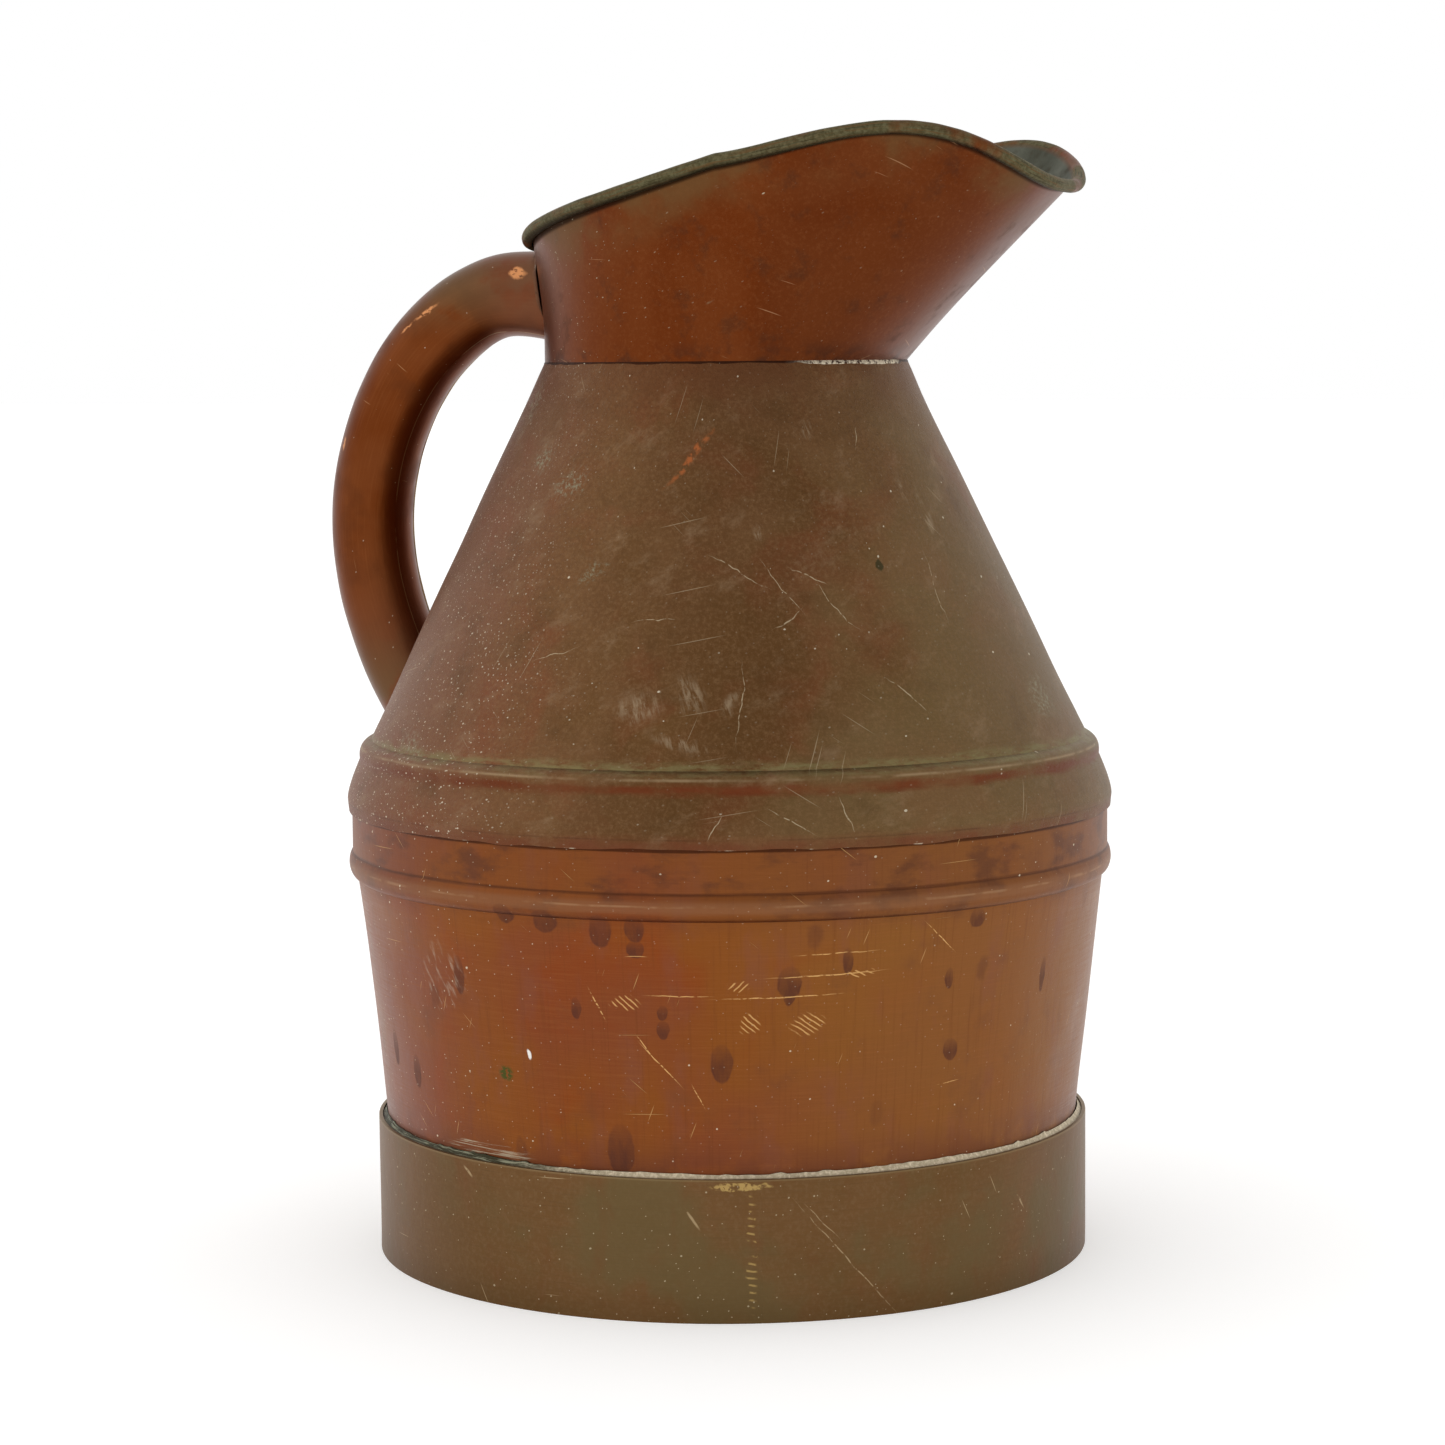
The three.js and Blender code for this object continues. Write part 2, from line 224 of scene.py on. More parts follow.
def round_angles(*extra):
    """Stations round the jug from the side seam on, with extra ones where an edge is sharp."""
    even = np.linspace(-math.pi, math.pi, STATIONS, endpoint=False)
    return np.unique(np.concatenate([even, np.array(extra, float)]))


def turned(name, outline, angles=None, warp=None, marks=None):
    """A piece turned round the axis. warp changes radius and height by angle."""
    angles = round_angles() if angles is None else angles
    a = angles[:, None]
    r, z = (np.broadcast_to(column, (len(angles), len(outline))) for column in outline.T)
    if warp:
        r, z = warp(a, r, z)
    grid = np.stack([r * np.cos(a), r * np.sin(a), z], axis=-1)
    u = np.append(angles, angles[0] + TURN) * uv_radius(outline)
    v = path_length(np.vstack([outline, outline[:1]]))
    return skin(name, grid, u, v, marks=marks)


def uv_radius(outline):
    """The radius, in round millimetres, at which the texture's width is true."""
    return round(float(outline[:, 0].max() + outline[:, 0].min()) / 2)


def ripple(angle, seed, slowest=2, fastest=30):
    """A smooth random wave round the jug, mostly between -1 and 1."""
    random = np.random.default_rng(seed)
    count = np.arange(slowest, fastest)
    phase = random.uniform(0, TURN, len(count))
    size = random.uniform(0.4, 1, len(count)) / np.sqrt(count)
    angle = np.asarray(angle, float)[..., None]
    wave = (size * np.cos(angle * count + phase)).sum(axis=-1)
    return wave / np.sqrt((size**2).sum())


def dents(seed, count, low, high, radius, depth):
    """A function of angle and height: how far in the hand-beaten sheet is dented there."""
    random = np.random.default_rng(seed)
    angles = random.uniform(-math.pi, math.pi, count)
    heights = random.uniform(low, high, count)
    widths = random.uniform(7, 26, count)
    depths = random.uniform(0.15, 1, count) ** 2 * depth

    def depth_at(angle, z):
        total = 0
        for centre, height, width, deep in zip(angles, heights, widths, depths):
            across = (angle - centre + math.pi) % TURN - math.pi
            far = (across * radius / width) ** 2 + ((z - height) / (width * 0.8)) ** 2
            total = total + deep * np.exp(-far)
        return total

    return depth_at


def lap_step(angle, z, low, high):
    """How far the lapped sheet stands out: a sharp edge at the seam, then fading."""
    past = (angle - SIDE_SEAM) % TURN
    rise = np.clip(1 - past / LAP_FADE, 0, 1) ** 2
    inside = np.clip((z - low) / 8, 0, 1) * np.clip((high - z) / 8, 0, 1)
    return LAP * rise * inside


# ---------------------------------------------------------------- foot and drum


def drum_radius(z):
    return TAPER_TOP[0] - (TAPER_TOP[1] - z) * TAPER


def foot_band():
    """The heavy strip round the foot, worn at its lower edge and butted at a brazed seam."""
    edge = rounded([(BAND_R, 0), (BAND_R, BAND_HEIGHT), (BAND_R - 0.5, BAND_HEIGHT)], 0.4)
    face = dense(edge, 4)
    outline = np.vstack([face, [(BAND_R - BAND_SHEET, BAND_HEIGHT), (BAND_R - BAND_SHEET, 0)]])
    inner = (outline[:, 0] < BAND_R - 0.9).astype(float)
    beaten = dents(3, 46, 0, BAND_HEIGHT, BAND_R, 0.22)
    seam_edges = [BAND_SEAM + side * BAND_SEAM_HALF for side in (-1, -0.35, 0.35, 1)]

    def warp(a, r, z):
        groove = np.clip(1 - abs(a - BAND_SEAM) / BAND_SEAM_HALF, 0, 1)
        foot_wear = 0.12 * (1 + ripple(a, 8, 2, 9)) * np.exp(-z / 3)
        return r - beaten(a, z) - 0.12 * groove - foot_wear * (inner < 0.5), z

    return turned("foot_band", outline, round_angles(*seam_edges), warp, {"inside": inner})


def foot_band_solder():
    """The run of solder in the ledge between the band's top and the drum."""
    wall = drum_radius(BAND_HEIGHT)
    face = rounded(
        [
            (BAND_R - BAND_SHEET, BAND_HEIGHT - 5),
            (BAND_R - BAND_SHEET, BAND_HEIGHT - 0.5),
            (wall + 1.1, BAND_HEIGHT - 0.1),
            (wall + 0.25, BAND_HEIGHT + 1.1),
        ],
        0.5,
    )
    outline = np.vstack([face, [(drum_radius(BAND_HEIGHT - 5) - 0.2, BAND_HEIGHT - 5)]])
    lift = np.clip((outline[:, 1] - BAND_HEIGHT + 0.6) / 1.7, 0, 1)

    def warp(a, r, z):
        lumps = np.clip(ripple(a, 21, 30, 150), 0, 2)
        uneven = 0.3 * ripple(a, 22, 2, 20) + 0.35 * lumps
        return r + 0.12 * lift * lumps, z + lift * uneven

    return turned("foot_band_solder", outline, warp=warp)


def base_plate():
    """The bottom, a little domed, with its edge folded up over the drum's flange."""
    top = BASE_Z + 3 * SHEET + 0.6
    face = rounded(
        [
            (0.05, BASE_Z),
            (BASE_R, BASE_Z),
            (BASE_R, top),
            (BASE_R - FOLD, top),
            (BASE_R - FOLD, top - SHEET),
            (BASE_R - SHEET, top - SHEET),
            (BASE_R - SHEET, BASE_Z + SHEET),
            (0.05, BASE_Z + SHEET),
        ],
        0.35,
    )
    outline = dense(face, 4)
    inside = (outline[:, 1] > BASE_Z + SHEET / 2) & (outline[:, 0] < BASE_R - SHEET)
    lumps = dents(5, 60, 20, 95, 70, 0.3)

    def warp(a, r, z):
        domed = DOME_RISE * np.clip((DOME_R - r) / DOME_EDGE, 0, 1)
        return r, z + domed + lumps(a, r) * np.clip(r / 30, 0, 1) * (r < BASE_R - 10)

    return turned("base_plate", outline, warp=warp, marks={"inside": inside})


def lower_body():
    """The tapered drum: flange, wall, bead, and the straight top that the skirt laps."""
    flange = BASE_Z + 2 * SHEET + GAP
    wall = rounded([(BASE_R - SHEET - GAP, flange), (drum_radius(flange), flange), TAPER_TOP], 2)
    crest_r, crest_z = DRUM_BEAD_CREST
    face = np.vstack(
        [
            dense(wall, 3)[:-1],
            curve(TAPER_TOP, (crest_r - 0.3, TAPER_TOP[1] + 0.6), DRUM_BEAD_CREST),
            curve(DRUM_BEAD_CREST, (crest_r, crest_z + 2.6), (DRUM_TOP_R, DRUM_BEAD_TOP)),
            dense(np.array([(DRUM_TOP_R, DRUM_BEAD_TOP), (DRUM_TOP_R, DRUM_TOP_Z)]), 3),
        ]
    )
    outline, inner = sheet_section(face, SHEET)
    beaten = dents(11, 90, 46, 116, 117, 0.4)

    def warp(a, r, z):
        share = np.clip((z - 43) / 78, 0, 1)
        slack = 0.22 * (1 + ripple(a, 12, 2, 7)) * np.sin(share * math.pi)
        inward = (beaten(a, z) + slack) * np.clip((TAPER_TOP[1] - z) / 6, 0, 1)
        return r - inward + lap_step(a, z, 16, DRUM_TOP_Z), z + 0.15 * ripple(a, 13, 2, 8)

    return turned("lower_body", outline, round_angles(*LAP_STATIONS), warp, {"inside": inner})


def inner_fillet(name, wall, bottom, bow, lean, seed, unevenness):
    """Solder in an inside corner. bow is how near the middle of its face comes to the corner."""
    start, end = (wall - FILLET, bottom), (wall - lean, bottom + FILLET)
    face = curve(start, (wall - bow[0], bottom + bow[1]), end, 8)

    def warp(a, r, z):
        return r, z + unevenness * ripple(a, seed, 3, 60) * np.clip((z - bottom) / FILLET, 0, 1)

    return turned(name, np.vstack([face, [(wall, bottom)]]), warp=warp)


def base_solder():
    bottom = BASE_Z + 2 * SHEET + 0.6
    wall = drum_radius(bottom) - SHEET - 0.1
    return inner_fillet("base_solder", wall, bottom, (0.6, 0.6), 0, 31, 0.35)


# ---------------------------------------------------------------- cone


def cone_face():
    return np.vstack(
        [
            rounded([SKIRT, (SKIRT[0] + 0.1, SKIRT[1] + 1), CORNER], 1),
            curve(CORNER, (CORNER[0] - 0.1, CORNER[1] + 3.4), CONE_BEAD_FOOT, 12)[1:],
            curve(
                CONE_BEAD_FOOT,
                (CONE_BEAD_FOOT[0] + 0.8, CONE_BEAD_HEAD[1] - 1.2),
                CONE_BEAD_HEAD,
                12,
            ),
            dense(np.array([CONE_BEAD_HEAD, CONE_TOP], float), 3),
        ]
    )


def cone_radius(z):
    face = cone_face()
    return np.interp(z, face[:, 1], face[:, 0])


def shoulder_cone():
    """The skirt, the bead and the cone, and the collar inside the neck."""
    collar = rounded([(COLLAR_R, CONE_TOP[1] + 0.6), (COLLAR_R, COLLAR_TOP)], 0.5)
    outline, inner = sheet_section(np.vstack([cone_face(), dense(collar, 2)]), SHEET)
    beaten = dents(17, 120, 168, 278, 88, 0.38)

    def warp(a, r, z):
        above_bead = np.clip((z - 166) / 10, 0, 1) * np.clip((281 - z) / 8, 0, 1)
        slack = 0.3 * (1 + ripple(a, 18, 2, 8)) * above_bead
        edge = np.clip((SKIRT[1] + 1.5 - z) / 1.5, 0, 1)
        lift = 0.28 * edge * (1 + ripple(a, 19, 3, 50)) + 0.12 * ripple(a, 20, 2, 8) * (z < 170)
        inward = beaten(a, z) * above_bead + slack
        return r - inward + lap_step(a, z, 146, 276), z + lift

    return turned("shoulder_cone", outline, round_angles(*LAP_STATIONS), warp, {"inside": inner})


def shoulder_lap_solder():
    wall = CORNER[0] - SHEET - GAP
    return inner_fillet("shoulder_lap_solder", wall, DRUM_TOP_Z + 0.1, (1, 0.7), 0.4, 33, 0.3)


def neck_solder():
    """The thin fillet round the neck's foot, wider along its pale run."""
    slope = (CONE_BEAD_HEAD[0] - CONE_TOP[0]) / (CONE_TOP[1] - CONE_BEAD_HEAD[1])
    low = CONE_TOP[1] - 0.2
    high = NECK_Z + 0.1
    wall = CONE_TOP[0] + (CONE_TOP[1] - low) * slope - 0.25
    outline = np.vstack(
        [
            rounded([(wall, low), (wall + 0.3, low + 0.2), (NECK_R + 0.5, high)], 0.2),
            [(NECK_R - 0.1, high), (NECK_R - 0.1, CONE_TOP[1])],
        ]
    )
    down = np.clip((high - outline[:, 1]) / (high - low), 0, 1)

    def warp(a, r, z):
        beyond = np.abs((a - PALE_SOLDER + math.pi) % TURN - math.pi) - PALE_SOLDER_HALF
        run = np.clip(-beyond / 0.1, 0, 1)
        spread = 0.35 * np.clip(1 + ripple(a, 41, 4, 70), 0, 2) + 1.1 * run
        return r + 0.3 * down * spread, z - 0.7 * down * spread

    return turned("neck_solder", outline, warp=warp)


# ---------------------------------------------------------------- neck, spout and rim


def rim_point(angle):
    """Centre of the rolled edge. Angle 0 is the spout's tip."""
    c, s = np.cos(angle), np.sin(angle)
    power = 2 / np.where(c > 0, RIM_FRONT_POWER, RIM_BACK_POWER)
    x = RIM_CENTRE_X + RIM_HALF_LENGTH * np.sign(c) * np.abs(c) ** power
    y = RIM_HALF_WIDTH * np.sign(s) * np.abs(s) ** power
    z = sum(wave * np.cos(k * angle) for k, wave in enumerate(RIM_WAVES))
    return np.stack([x, y, z], axis=-1)


def neck_point(angle):
    return np.stack([NECK_R * np.cos(angle), NECK_R * np.sin(angle), NECK_Z + 0 * angle], axis=-1)


def unit(vectors):
    return vectors / np.linalg.norm(vectors, axis=-1, keepdims=True)


def spout_stations(angle):
    """The sheet's foot, the roll's centre, and the directions out of and up the sheet there."""
    foot, roll = neck_point(angle), rim_point(angle)
    along = unit(rim_point(angle + 0.01) - rim_point(angle - 0.01))
    out = unit(np.cross(along, unit(roll - foot)))
    return foot, roll, out, unit(np.cross(out, along))


def roll_arc(station, radius, start, end, steps):
    _, roll, out, up = station
    turn = np.linspace(start, end, steps + 1)[None, :, None]
    radius = np.asarray(radius).reshape(-1, 1, 1)
    return roll[:, None] + radius * (out[:, None] * np.cos(turn) + up[:, None] * np.sin(turn))


def spout_wall(angles, out, low, high, share):
    """The sheet at shares of the way from its foot up to its roll, beaten a little inward."""
    beaten = dents(51, 60, 0, 1, 60, 0.3)
    depth = beaten(angles[:, None], share * 20) + 0.25 * (1 + ripple(angles, 52, 2, 8))[:, None]
    give = np.sin(math.pi * share) * depth
    straight = low[:, None] * (1 - share[..., None]) + high[:, None] * share[..., None]
    return straight - out[:, None] * give[..., None]


def neck_spout():
    """Neck, spout and mouth in one sheet, its edge rolled outward over the wire."""
    angles = round_angles()
    station = spout_stations(angles)
    foot, _, out, _ = station
    half_sheet = np.stack([np.cos(angles), np.sin(angles), 0 * angles], axis=-1) * SHEET / 2
    inner_r = np.full(len(angles), ROLL_R - SHEET)
    outer_r = ROLL_R - 0.06 - 0.05 * np.clip(1 + ripple(angles, 54, 4, 60), 0, 2)
    arc_in = roll_arc(station, inner_r, math.pi, ROLL_END, ROLL_STEPS)
    arc_out = roll_arc(station, outer_r, ROLL_END, math.pi, ROLL_STEPS)
    share = np.linspace(0, 1, WALL_STEPS + 1)[None, :-1]
    wall_out = spout_wall(angles, out, foot + half_sheet, arc_in[:, 0], share)
    wall_in = spout_wall(angles, out, foot - half_sheet, arc_out[:, -1], share[:, ::-1])
    grid = np.concatenate([wall_out, arc_in, arc_out, wall_in], axis=1)
    plain, whole = np.zeros(WALL_STEPS), np.ones(ROLL_STEPS + 1)
    up = np.concatenate([share[0], whole, whole, share[0, ::-1]])
    marks = {
        "inside": np.concatenate([plain, 0 * whole, 0 * whole, plain + 1]),
        "roll": np.concatenate([plain, whole, whole, plain]),
        "up": up,
        "below_rim": (1 - up) * np.linalg.norm(rim_point(angles) - foot, axis=-1)[:, None],
        # tucked marks the curled-under side of the roll, where the spout's material paints shade
        "tucked": np.concatenate([plain, whole, np.linspace(1, 0, ROLL_STEPS + 1), plain]),
    }
    u = np.append(angles, math.pi) * MOUTH_UV_R
    v = path_length(np.vstack([grid[STATIONS // 2], grid[STATIONS // 2, :1]]))
    return skin("neck_spout", grid, u, v, marks=marks)


def rim_wire():
    angles = round_angles()
    sides = 16
    ring = roll_arc(spout_stations(angles), np.full(len(angles), WIRE_R), 0, TURN, sides)
    u = np.append(angles, math.pi) * MOUTH_UV_R
    return skin("rim_wire", ring[:, :-1], u, np.linspace(0, TURN * WIRE_R, sides + 1))


def neck_wall_x(y, z):
    """Where the middle of the neck's sheet is, behind the axis, at a place across and a height."""
    low, high = np.full(np.shape(y), math.radians(100)), np.full(np.shape(y), math.radians(260))
    for _ in range(40):
        angle = (low + high) / 2
        foot, roll = neck_point(angle), rim_point(angle)
        share = (z - NECK_Z) / (roll[..., 2] - NECK_Z)
        point = foot + (roll - foot) * share[..., None]
        beyond = point[..., 1] > y
        low, high = np.where(beyond, angle, low), np.where(beyond, high, angle)
    return point[..., 0]


def cone_wall_x(y, z):
    return -np.sqrt(np.maximum((cone_radius(z) - 0.4) ** 2 - y**2, 0))


# ---------------------------------------------------------------- grip


def grip_line(count=1200):
    """Even points along the grip's middle line, and the directions to its outer side."""
    p = np.array(GRIP_ROUTE, float)
    p = np.vstack([2 * p[0] - p[1], p, 2 * p[-1] - p[-2]])
    line = []
    t = np.linspace(0, 1, 200, endpoint=False)[:, None]
    for a, b, c, d in zip(p, p[1:], p[2:], p[3:]):
        gap_in, gap, gap_out = (np.linalg.norm(e) ** 0.5 for e in (b - a, c - b, d - c))
        start = ((b - a) / gap_in - (c - a) / (gap_in + gap) + (c - b) / gap) * gap
        end = ((c - b) / gap - (d - b) / (gap + gap_out) + (d - c) / gap_out) * gap
        line.append(
            (2 * t**3 - 3 * t**2 + 1) * b
            + (t**3 - 2 * t**2 + t) * start
            + (3 * t**2 - 2 * t**3) * c
            + (t**3 - t**2) * end
        )
    line = np.vstack(line + [p[-2][None]])
    length = path_length(line)
    even = np.linspace(0, length[-1], count)
    x, z = (np.interp(even, length, column) for column in line.T)
    points = np.stack([x, 0 * x, z], axis=-1)
    along = unit(np.gradient(points, axis=0))
    outer = np.stack([along[:, 2], 0 * x, -along[:, 0]], axis=-1)
    return even, points, outer


GRIP_LENGTH, GRIP_POINTS, GRIP_OUTER = grip_line()


def grip_point(at, across, outward):
    """A point beside the grip's middle line, at a length along it."""
    middle = np.stack([np.interp(at, GRIP_LENGTH, column) for column in GRIP_POINTS.T], axis=-1)
    outer = np.stack([np.interp(at, GRIP_LENGTH, column) for column in GRIP_OUTER.T], axis=-1)
    side = np.stack([0 * at, 0 * at + across, 0 * at], axis=-1)
    return middle + side + outer * np.asarray(outward)[..., None]


def grip_ends(section):
    """For each line along the grip, the lengths where it leaves the neck and enters the cone."""
    starts, ends = [], []
    for across, outward in section:
        line = grip_point(GRIP_LENGTH, across, outward)
        x, y, z = line.T
        neck_gap = neck_wall_x(y, z) - x
        cone_gap = cone_wall_x(y, z) - x
        upper = GRIP_LENGTH < GRIP_LENGTH[-1] / 2
        starts.append(np.interp(0, neck_gap[upper], GRIP_LENGTH[upper]))
        ends.append(np.interp(0, -cone_gap[~upper], GRIP_LENGTH[~upper]))
    return np.array(starts), np.array(ends)


def grip_flare(at, outward):
    """How far the tube's inner side droops where it meets the neck."""
    near = np.clip(1 - (at - FLARE_START) / FLARE_LENGTH, 0, 1) ** 2
    return FLARE * near * np.clip(-outward / GRIP_R, 0, 1)


def along_grip(name, section, give, marks=None, stations=180):
    """A section of places across and outward, carried along the grip from wall to wall."""
    section = np.array(section, float)
    starts, ends = grip_ends(section)
    t = np.linspace(0, 1, stations)[:, None]
    at = starts + (ends - starts) * t
    shrink = 1 - give(at) / GRIP_R
    droop = grip_flare(at, section[:, 1])
    grid = grip_point(at, section[:, 0] * shrink, section[:, 1] * shrink - droop)
    u = np.append(t[:, 0], 1) * (ends - starts).mean()
    v = path_length(np.vstack([section, section[:1]]))
    return skin(name, grid, u, v, closed_run=False, marks=marks)


def handle_shell():
    """The grip's round outside, open along its inner side."""
    start, end = STRIP_HALF_ANGLE - math.pi / 2, 1.5 * math.pi - STRIP_HALF_ANGLE
    turn = np.concatenate([[start], np.linspace(start + 0.03, end - 0.03, 72), [end]])
    ring = np.stack([np.cos(turn), np.sin(turn)], axis=-1)
    section = np.vstack([ring * GRIP_R, ring[::-1] * (GRIP_R - SHEET)])
    # cut marks the shell's edge along the strip, where the grip's material paints a highlight
    cut = np.isin(turn, (start, end)).astype(float)

    def give(at):
        return 0.07 * (1 + ripple(at / 60, 61, 3, 26))

    return along_grip("handle_shell", section, give, {"cut": np.append(cut, cut)})


def handle_strip():
    """The strip that closes the grip's inner side."""
    half = (GRIP_R - SHEET / 2) * math.sin(STRIP_HALF_ANGLE)
    low = -GRIP_R * math.cos(STRIP_HALF_ANGLE)
    across = np.linspace(-half, half, 15)
    crown = STRIP_CROWN * (1 - (across / half) ** 2)
    outer = np.stack([across, low + 0.35 - crown], axis=-1)
    inner = np.stack([across[::-1], low + STRIP_SHEET + 0 * across], axis=-1)

    def give(at):
        return 0.05 * (1 + ripple(at / 60, 63, 3, 30))

    return along_grip("handle_strip", np.vstack([outer, inner]), give)


def grip_fillet(name, which, spread_at):
    """Solder round the grip where it meets a wall: which is 0 at the neck and 1 at the cone."""
    turn = np.linspace(0, TURN, 120, endpoint=False)
    ring = np.stack([np.cos(turn), np.sin(turn)], axis=-1)
    spread = spread_at(turn)
    toward = 1 if which == 0 else -1
    root = grip_ends(ring * GRIP_R)[which]
    foot = grip_ends(ring * (GRIP_R + spread)[:, None])[which]

    def outside(at, radius):
        return grip_point(at, ring[:, 0] * radius, ring[:, 1] * radius)

    high = outside(root + toward * spread * 1.2, GRIP_R + 0.02)
    low = outside(foot, GRIP_R + spread)
    corner = outside(root + toward * 0.35 * spread, GRIP_R + 0.28 * spread)
    buried = outside(root - toward * 0.2, GRIP_R - 0.3)
    t = np.linspace(0, 1, 7)[None, :, None]
    face = (1 - t) ** 2 * high[:, None] + 2 * t * (1 - t) * corner[:, None] + t**2 * low[:, None]
    grid = np.concatenate([face, buried[:, None]], axis=1)
    v = np.linspace(0, 6, grid.shape[1] + 1)
    return skin(name, grid, np.append(turn, TURN) * GRIP_R, v)


def handle_upper_solder():
    def spread(turn):
        under_roll = np.clip(np.sin(turn), 0, 1) ** 2
        return (0.9 + 0.25 * ripple(turn, 71, 2, 16)) * (1 - 0.6 * under_roll) + 0.2

    return grip_fillet("handle_upper_solder", 0, spread)


def handle_lower_solder():
    return grip_fillet("handle_lower_solder", 1, lambda turn: 1.1 + 0.3 * ripple(turn, 72, 2, 16))


# ---------------------------------------------------------------- shader building


def srgb(code):
    """A linear colour from a hex code."""
    parts = [(code >> shift & 255) / 255 for shift in (16, 8, 0)]
    linear = [c / 12.92 if c <= 0.04045 else ((c + 0.055) / 1.055) ** 2.4 for c in parts]
    return (*linear, 1)


class Shader:
    """One procedural material, built coat by coat. Lengths are in metres, colours are hex codes."""

    def __init__(self, name):
        self.material = bpy.data.materials.new(name)
        self.material.use_nodes = True
        self.tree = self.material.node_tree
        self.tree.nodes.clear()
        self.uv = self.node("ShaderNodeUVMap", {}, uv_map="UVMap").outputs[0]
        self.place = self.node("ShaderNodeTexCoord", {}).outputs["Object"]
        self.height = self.component(self.place, 2)
        self.colour = None
        self.relief = None

    def node(self, kind, values, **settings):
        node = self.tree.nodes.new(kind)
        for key, value in settings.items():
            setattr(node, key, value)
        for key, value in values.items():
            if isinstance(value, bpy.types.NodeSocket):
                self.tree.links.new(value, node.inputs[key])
            else:
                node.inputs[key].default_value = value
        return node

    def component(self, vector, index):
        return self.node("ShaderNodeSeparateXYZ", {0: vector}).outputs[index]

    def math(self, operation, a, b=0.0):
        return self.node("ShaderNodeMath", {0: a, 1: b}, operation=operation).outputs[0]

    def product(self, *values):
        total = values[0]
        for value in values[1:]:
            total = self.math("MULTIPLY", total, value)
        return total

    def largest(self, *values):
        total = values[0]
        for value in values[1:]:
            total = self.math("MAXIMUM", total, value)
        return total

    def inverse(self, value):
        return self.math("SUBTRACT", 1.0, value)

    def attribute(self, name):
        return self.node("ShaderNodeAttribute", {}, attribute_name=name).outputs["Fac"]

    def measured(self, vector, size, angle=0.0, centre=(0, 0, 0)):
        """The vector from a centre, turned by an angle, in units of size."""
        values = {
            "Vector": vector,
            "Location": centre,
            "Rotation": (0, 0, angle),
            "Scale": (size[0], size[1], 1),
        }
        return self.node("ShaderNodeMapping", values, vector_type="TEXTURE").outputs[0]

    def noise(self, vector, size=1.0, detail=3.0, roughness=0.55, distortion=0.0):
        values = {
            "Vector": vector,
            "Scale": 1 / size,
            "Detail": detail,
            "Roughness": roughness,
            "Distortion": distortion,
        }
        return self.node("ShaderNodeTexNoise", values).outputs[0]

    def ramp(self, value, start, end):
        """0 up to start, 1 from end on, smooth between. It falls where end is below start."""
        values = {"Value": value, "From Min": start, "From Max": end, "To Min": 0.0, "To Max": 1.0}
        return self.node("ShaderNodeMapRange", values, interpolation_type="SMOOTHSTEP").outputs[0]

    def between(self, value, low, high, soft):
        return self.product(
            self.ramp(value, low - soft, low + soft), self.ramp(value, high + soft, high - soft)
        )

    def mix(self, share, a, b):
        node = self.node("ShaderNodeMix", {0: share}, data_type="RGBA")
        for socket, value in ((node.inputs[6], a), (node.inputs[7], b)):
            if isinstance(value, bpy.types.NodeSocket):
                self.tree.links.new(value, socket)
            else:
                socket.default_value = value
        return node.outputs[2]

    def paint(self, colour, code, *shares):
        """The colour under a coat of another, which covers it where the shares are all high."""
        return self.mix(self.product(*shares), colour, srgb(code))

    def base(self, share, code_a, code_b):
        """Starts the colour off between two others."""
        self.colour = self.mix(share, srgb(code_a), srgb(code_b))

    def coat(self, code, *shares):
        self.colour = self.paint(self.colour, code, *shares)

    def blend(self, share, a, b):
        """A value between two values."""
        return self.node("ShaderNodeMix", {0: share, 2: a, 3: b}, data_type="FLOAT").outputs[0]

    def wandering(self, vector, size, reach):
        """The vector, moved about by noise, so that edges drawn with it are ragged."""
        values = {"Vector": vector, "Scale": 1 / size, "Detail": 3.0}
        noise = self.node("ShaderNodeTexNoise", values)
        centred = self.node(
            "ShaderNodeVectorMath", {0: noise.outputs[1], 1: (0.5, 0.5, 0.5)}, operation="SUBTRACT"
        )
        moved = self.node(
            "ShaderNodeVectorMath", {0: centred.outputs[0], 1: (reach,) * 3}, operation="MULTIPLY"
        )
        return self.node("ShaderNodeVectorMath", {0: vector, 1: moved.outputs[0]}).outputs[0]

    def spot(self, vector, centre, size, angle=0.0, soft=0.35):
        """1 inside an ellipse, 0 outside."""
        local = self.measured(vector, size, angle, (*centre, 0))
        far = self.node("ShaderNodeVectorMath", {0: local}, operation="LENGTH").outputs["Value"]
        return self.ramp(far, 1.0, 1.0 - soft)

    def cells(self, vector, size, angle=0.0, seed=0):
        """Distance to the nearest random point, and that point's own random number."""
        local = self.measured(vector, size, angle, (seed * 0.317, seed * 0.173, 0))
        node = self.node(
            "ShaderNodeTexVoronoi", {"Vector": local, "Scale": 1.0}, voronoi_dimensions="2D"
        )
        chance = self.node("ShaderNodeSeparateColor", {0: node.outputs["Color"]}).outputs[0]
        return node.outputs["Distance"], chance

    def scratches(self, vector, angle, length, width, share, seed):
        """Thin strokes at an angle, of many lengths up to the one given."""
        distance, chance = self.cells(vector, (length * 6, width * 16), angle, seed)
        reach = self.ramp(chance, 1 - share, 1.0)
        stroke = self.math("SUBTRACT", self.product(reach, 0.09), distance)
        return self.ramp(stroke, 0.0, 0.05)

    def specks(self, vector, spacing, radius, share, seed):
        """Small grains of many sizes up to the radius."""
        ragged = self.wandering(vector, radius * 2, radius)
        distance, chance = self.cells(ragged, (spacing * 1.2, spacing), 0.4, seed)
        size = self.product(self.ramp(chance, 1 - share, 1.0), radius / spacing)
        return self.ramp(self.math("SUBTRACT", size, distance), 0.0, radius / spacing * 0.35)

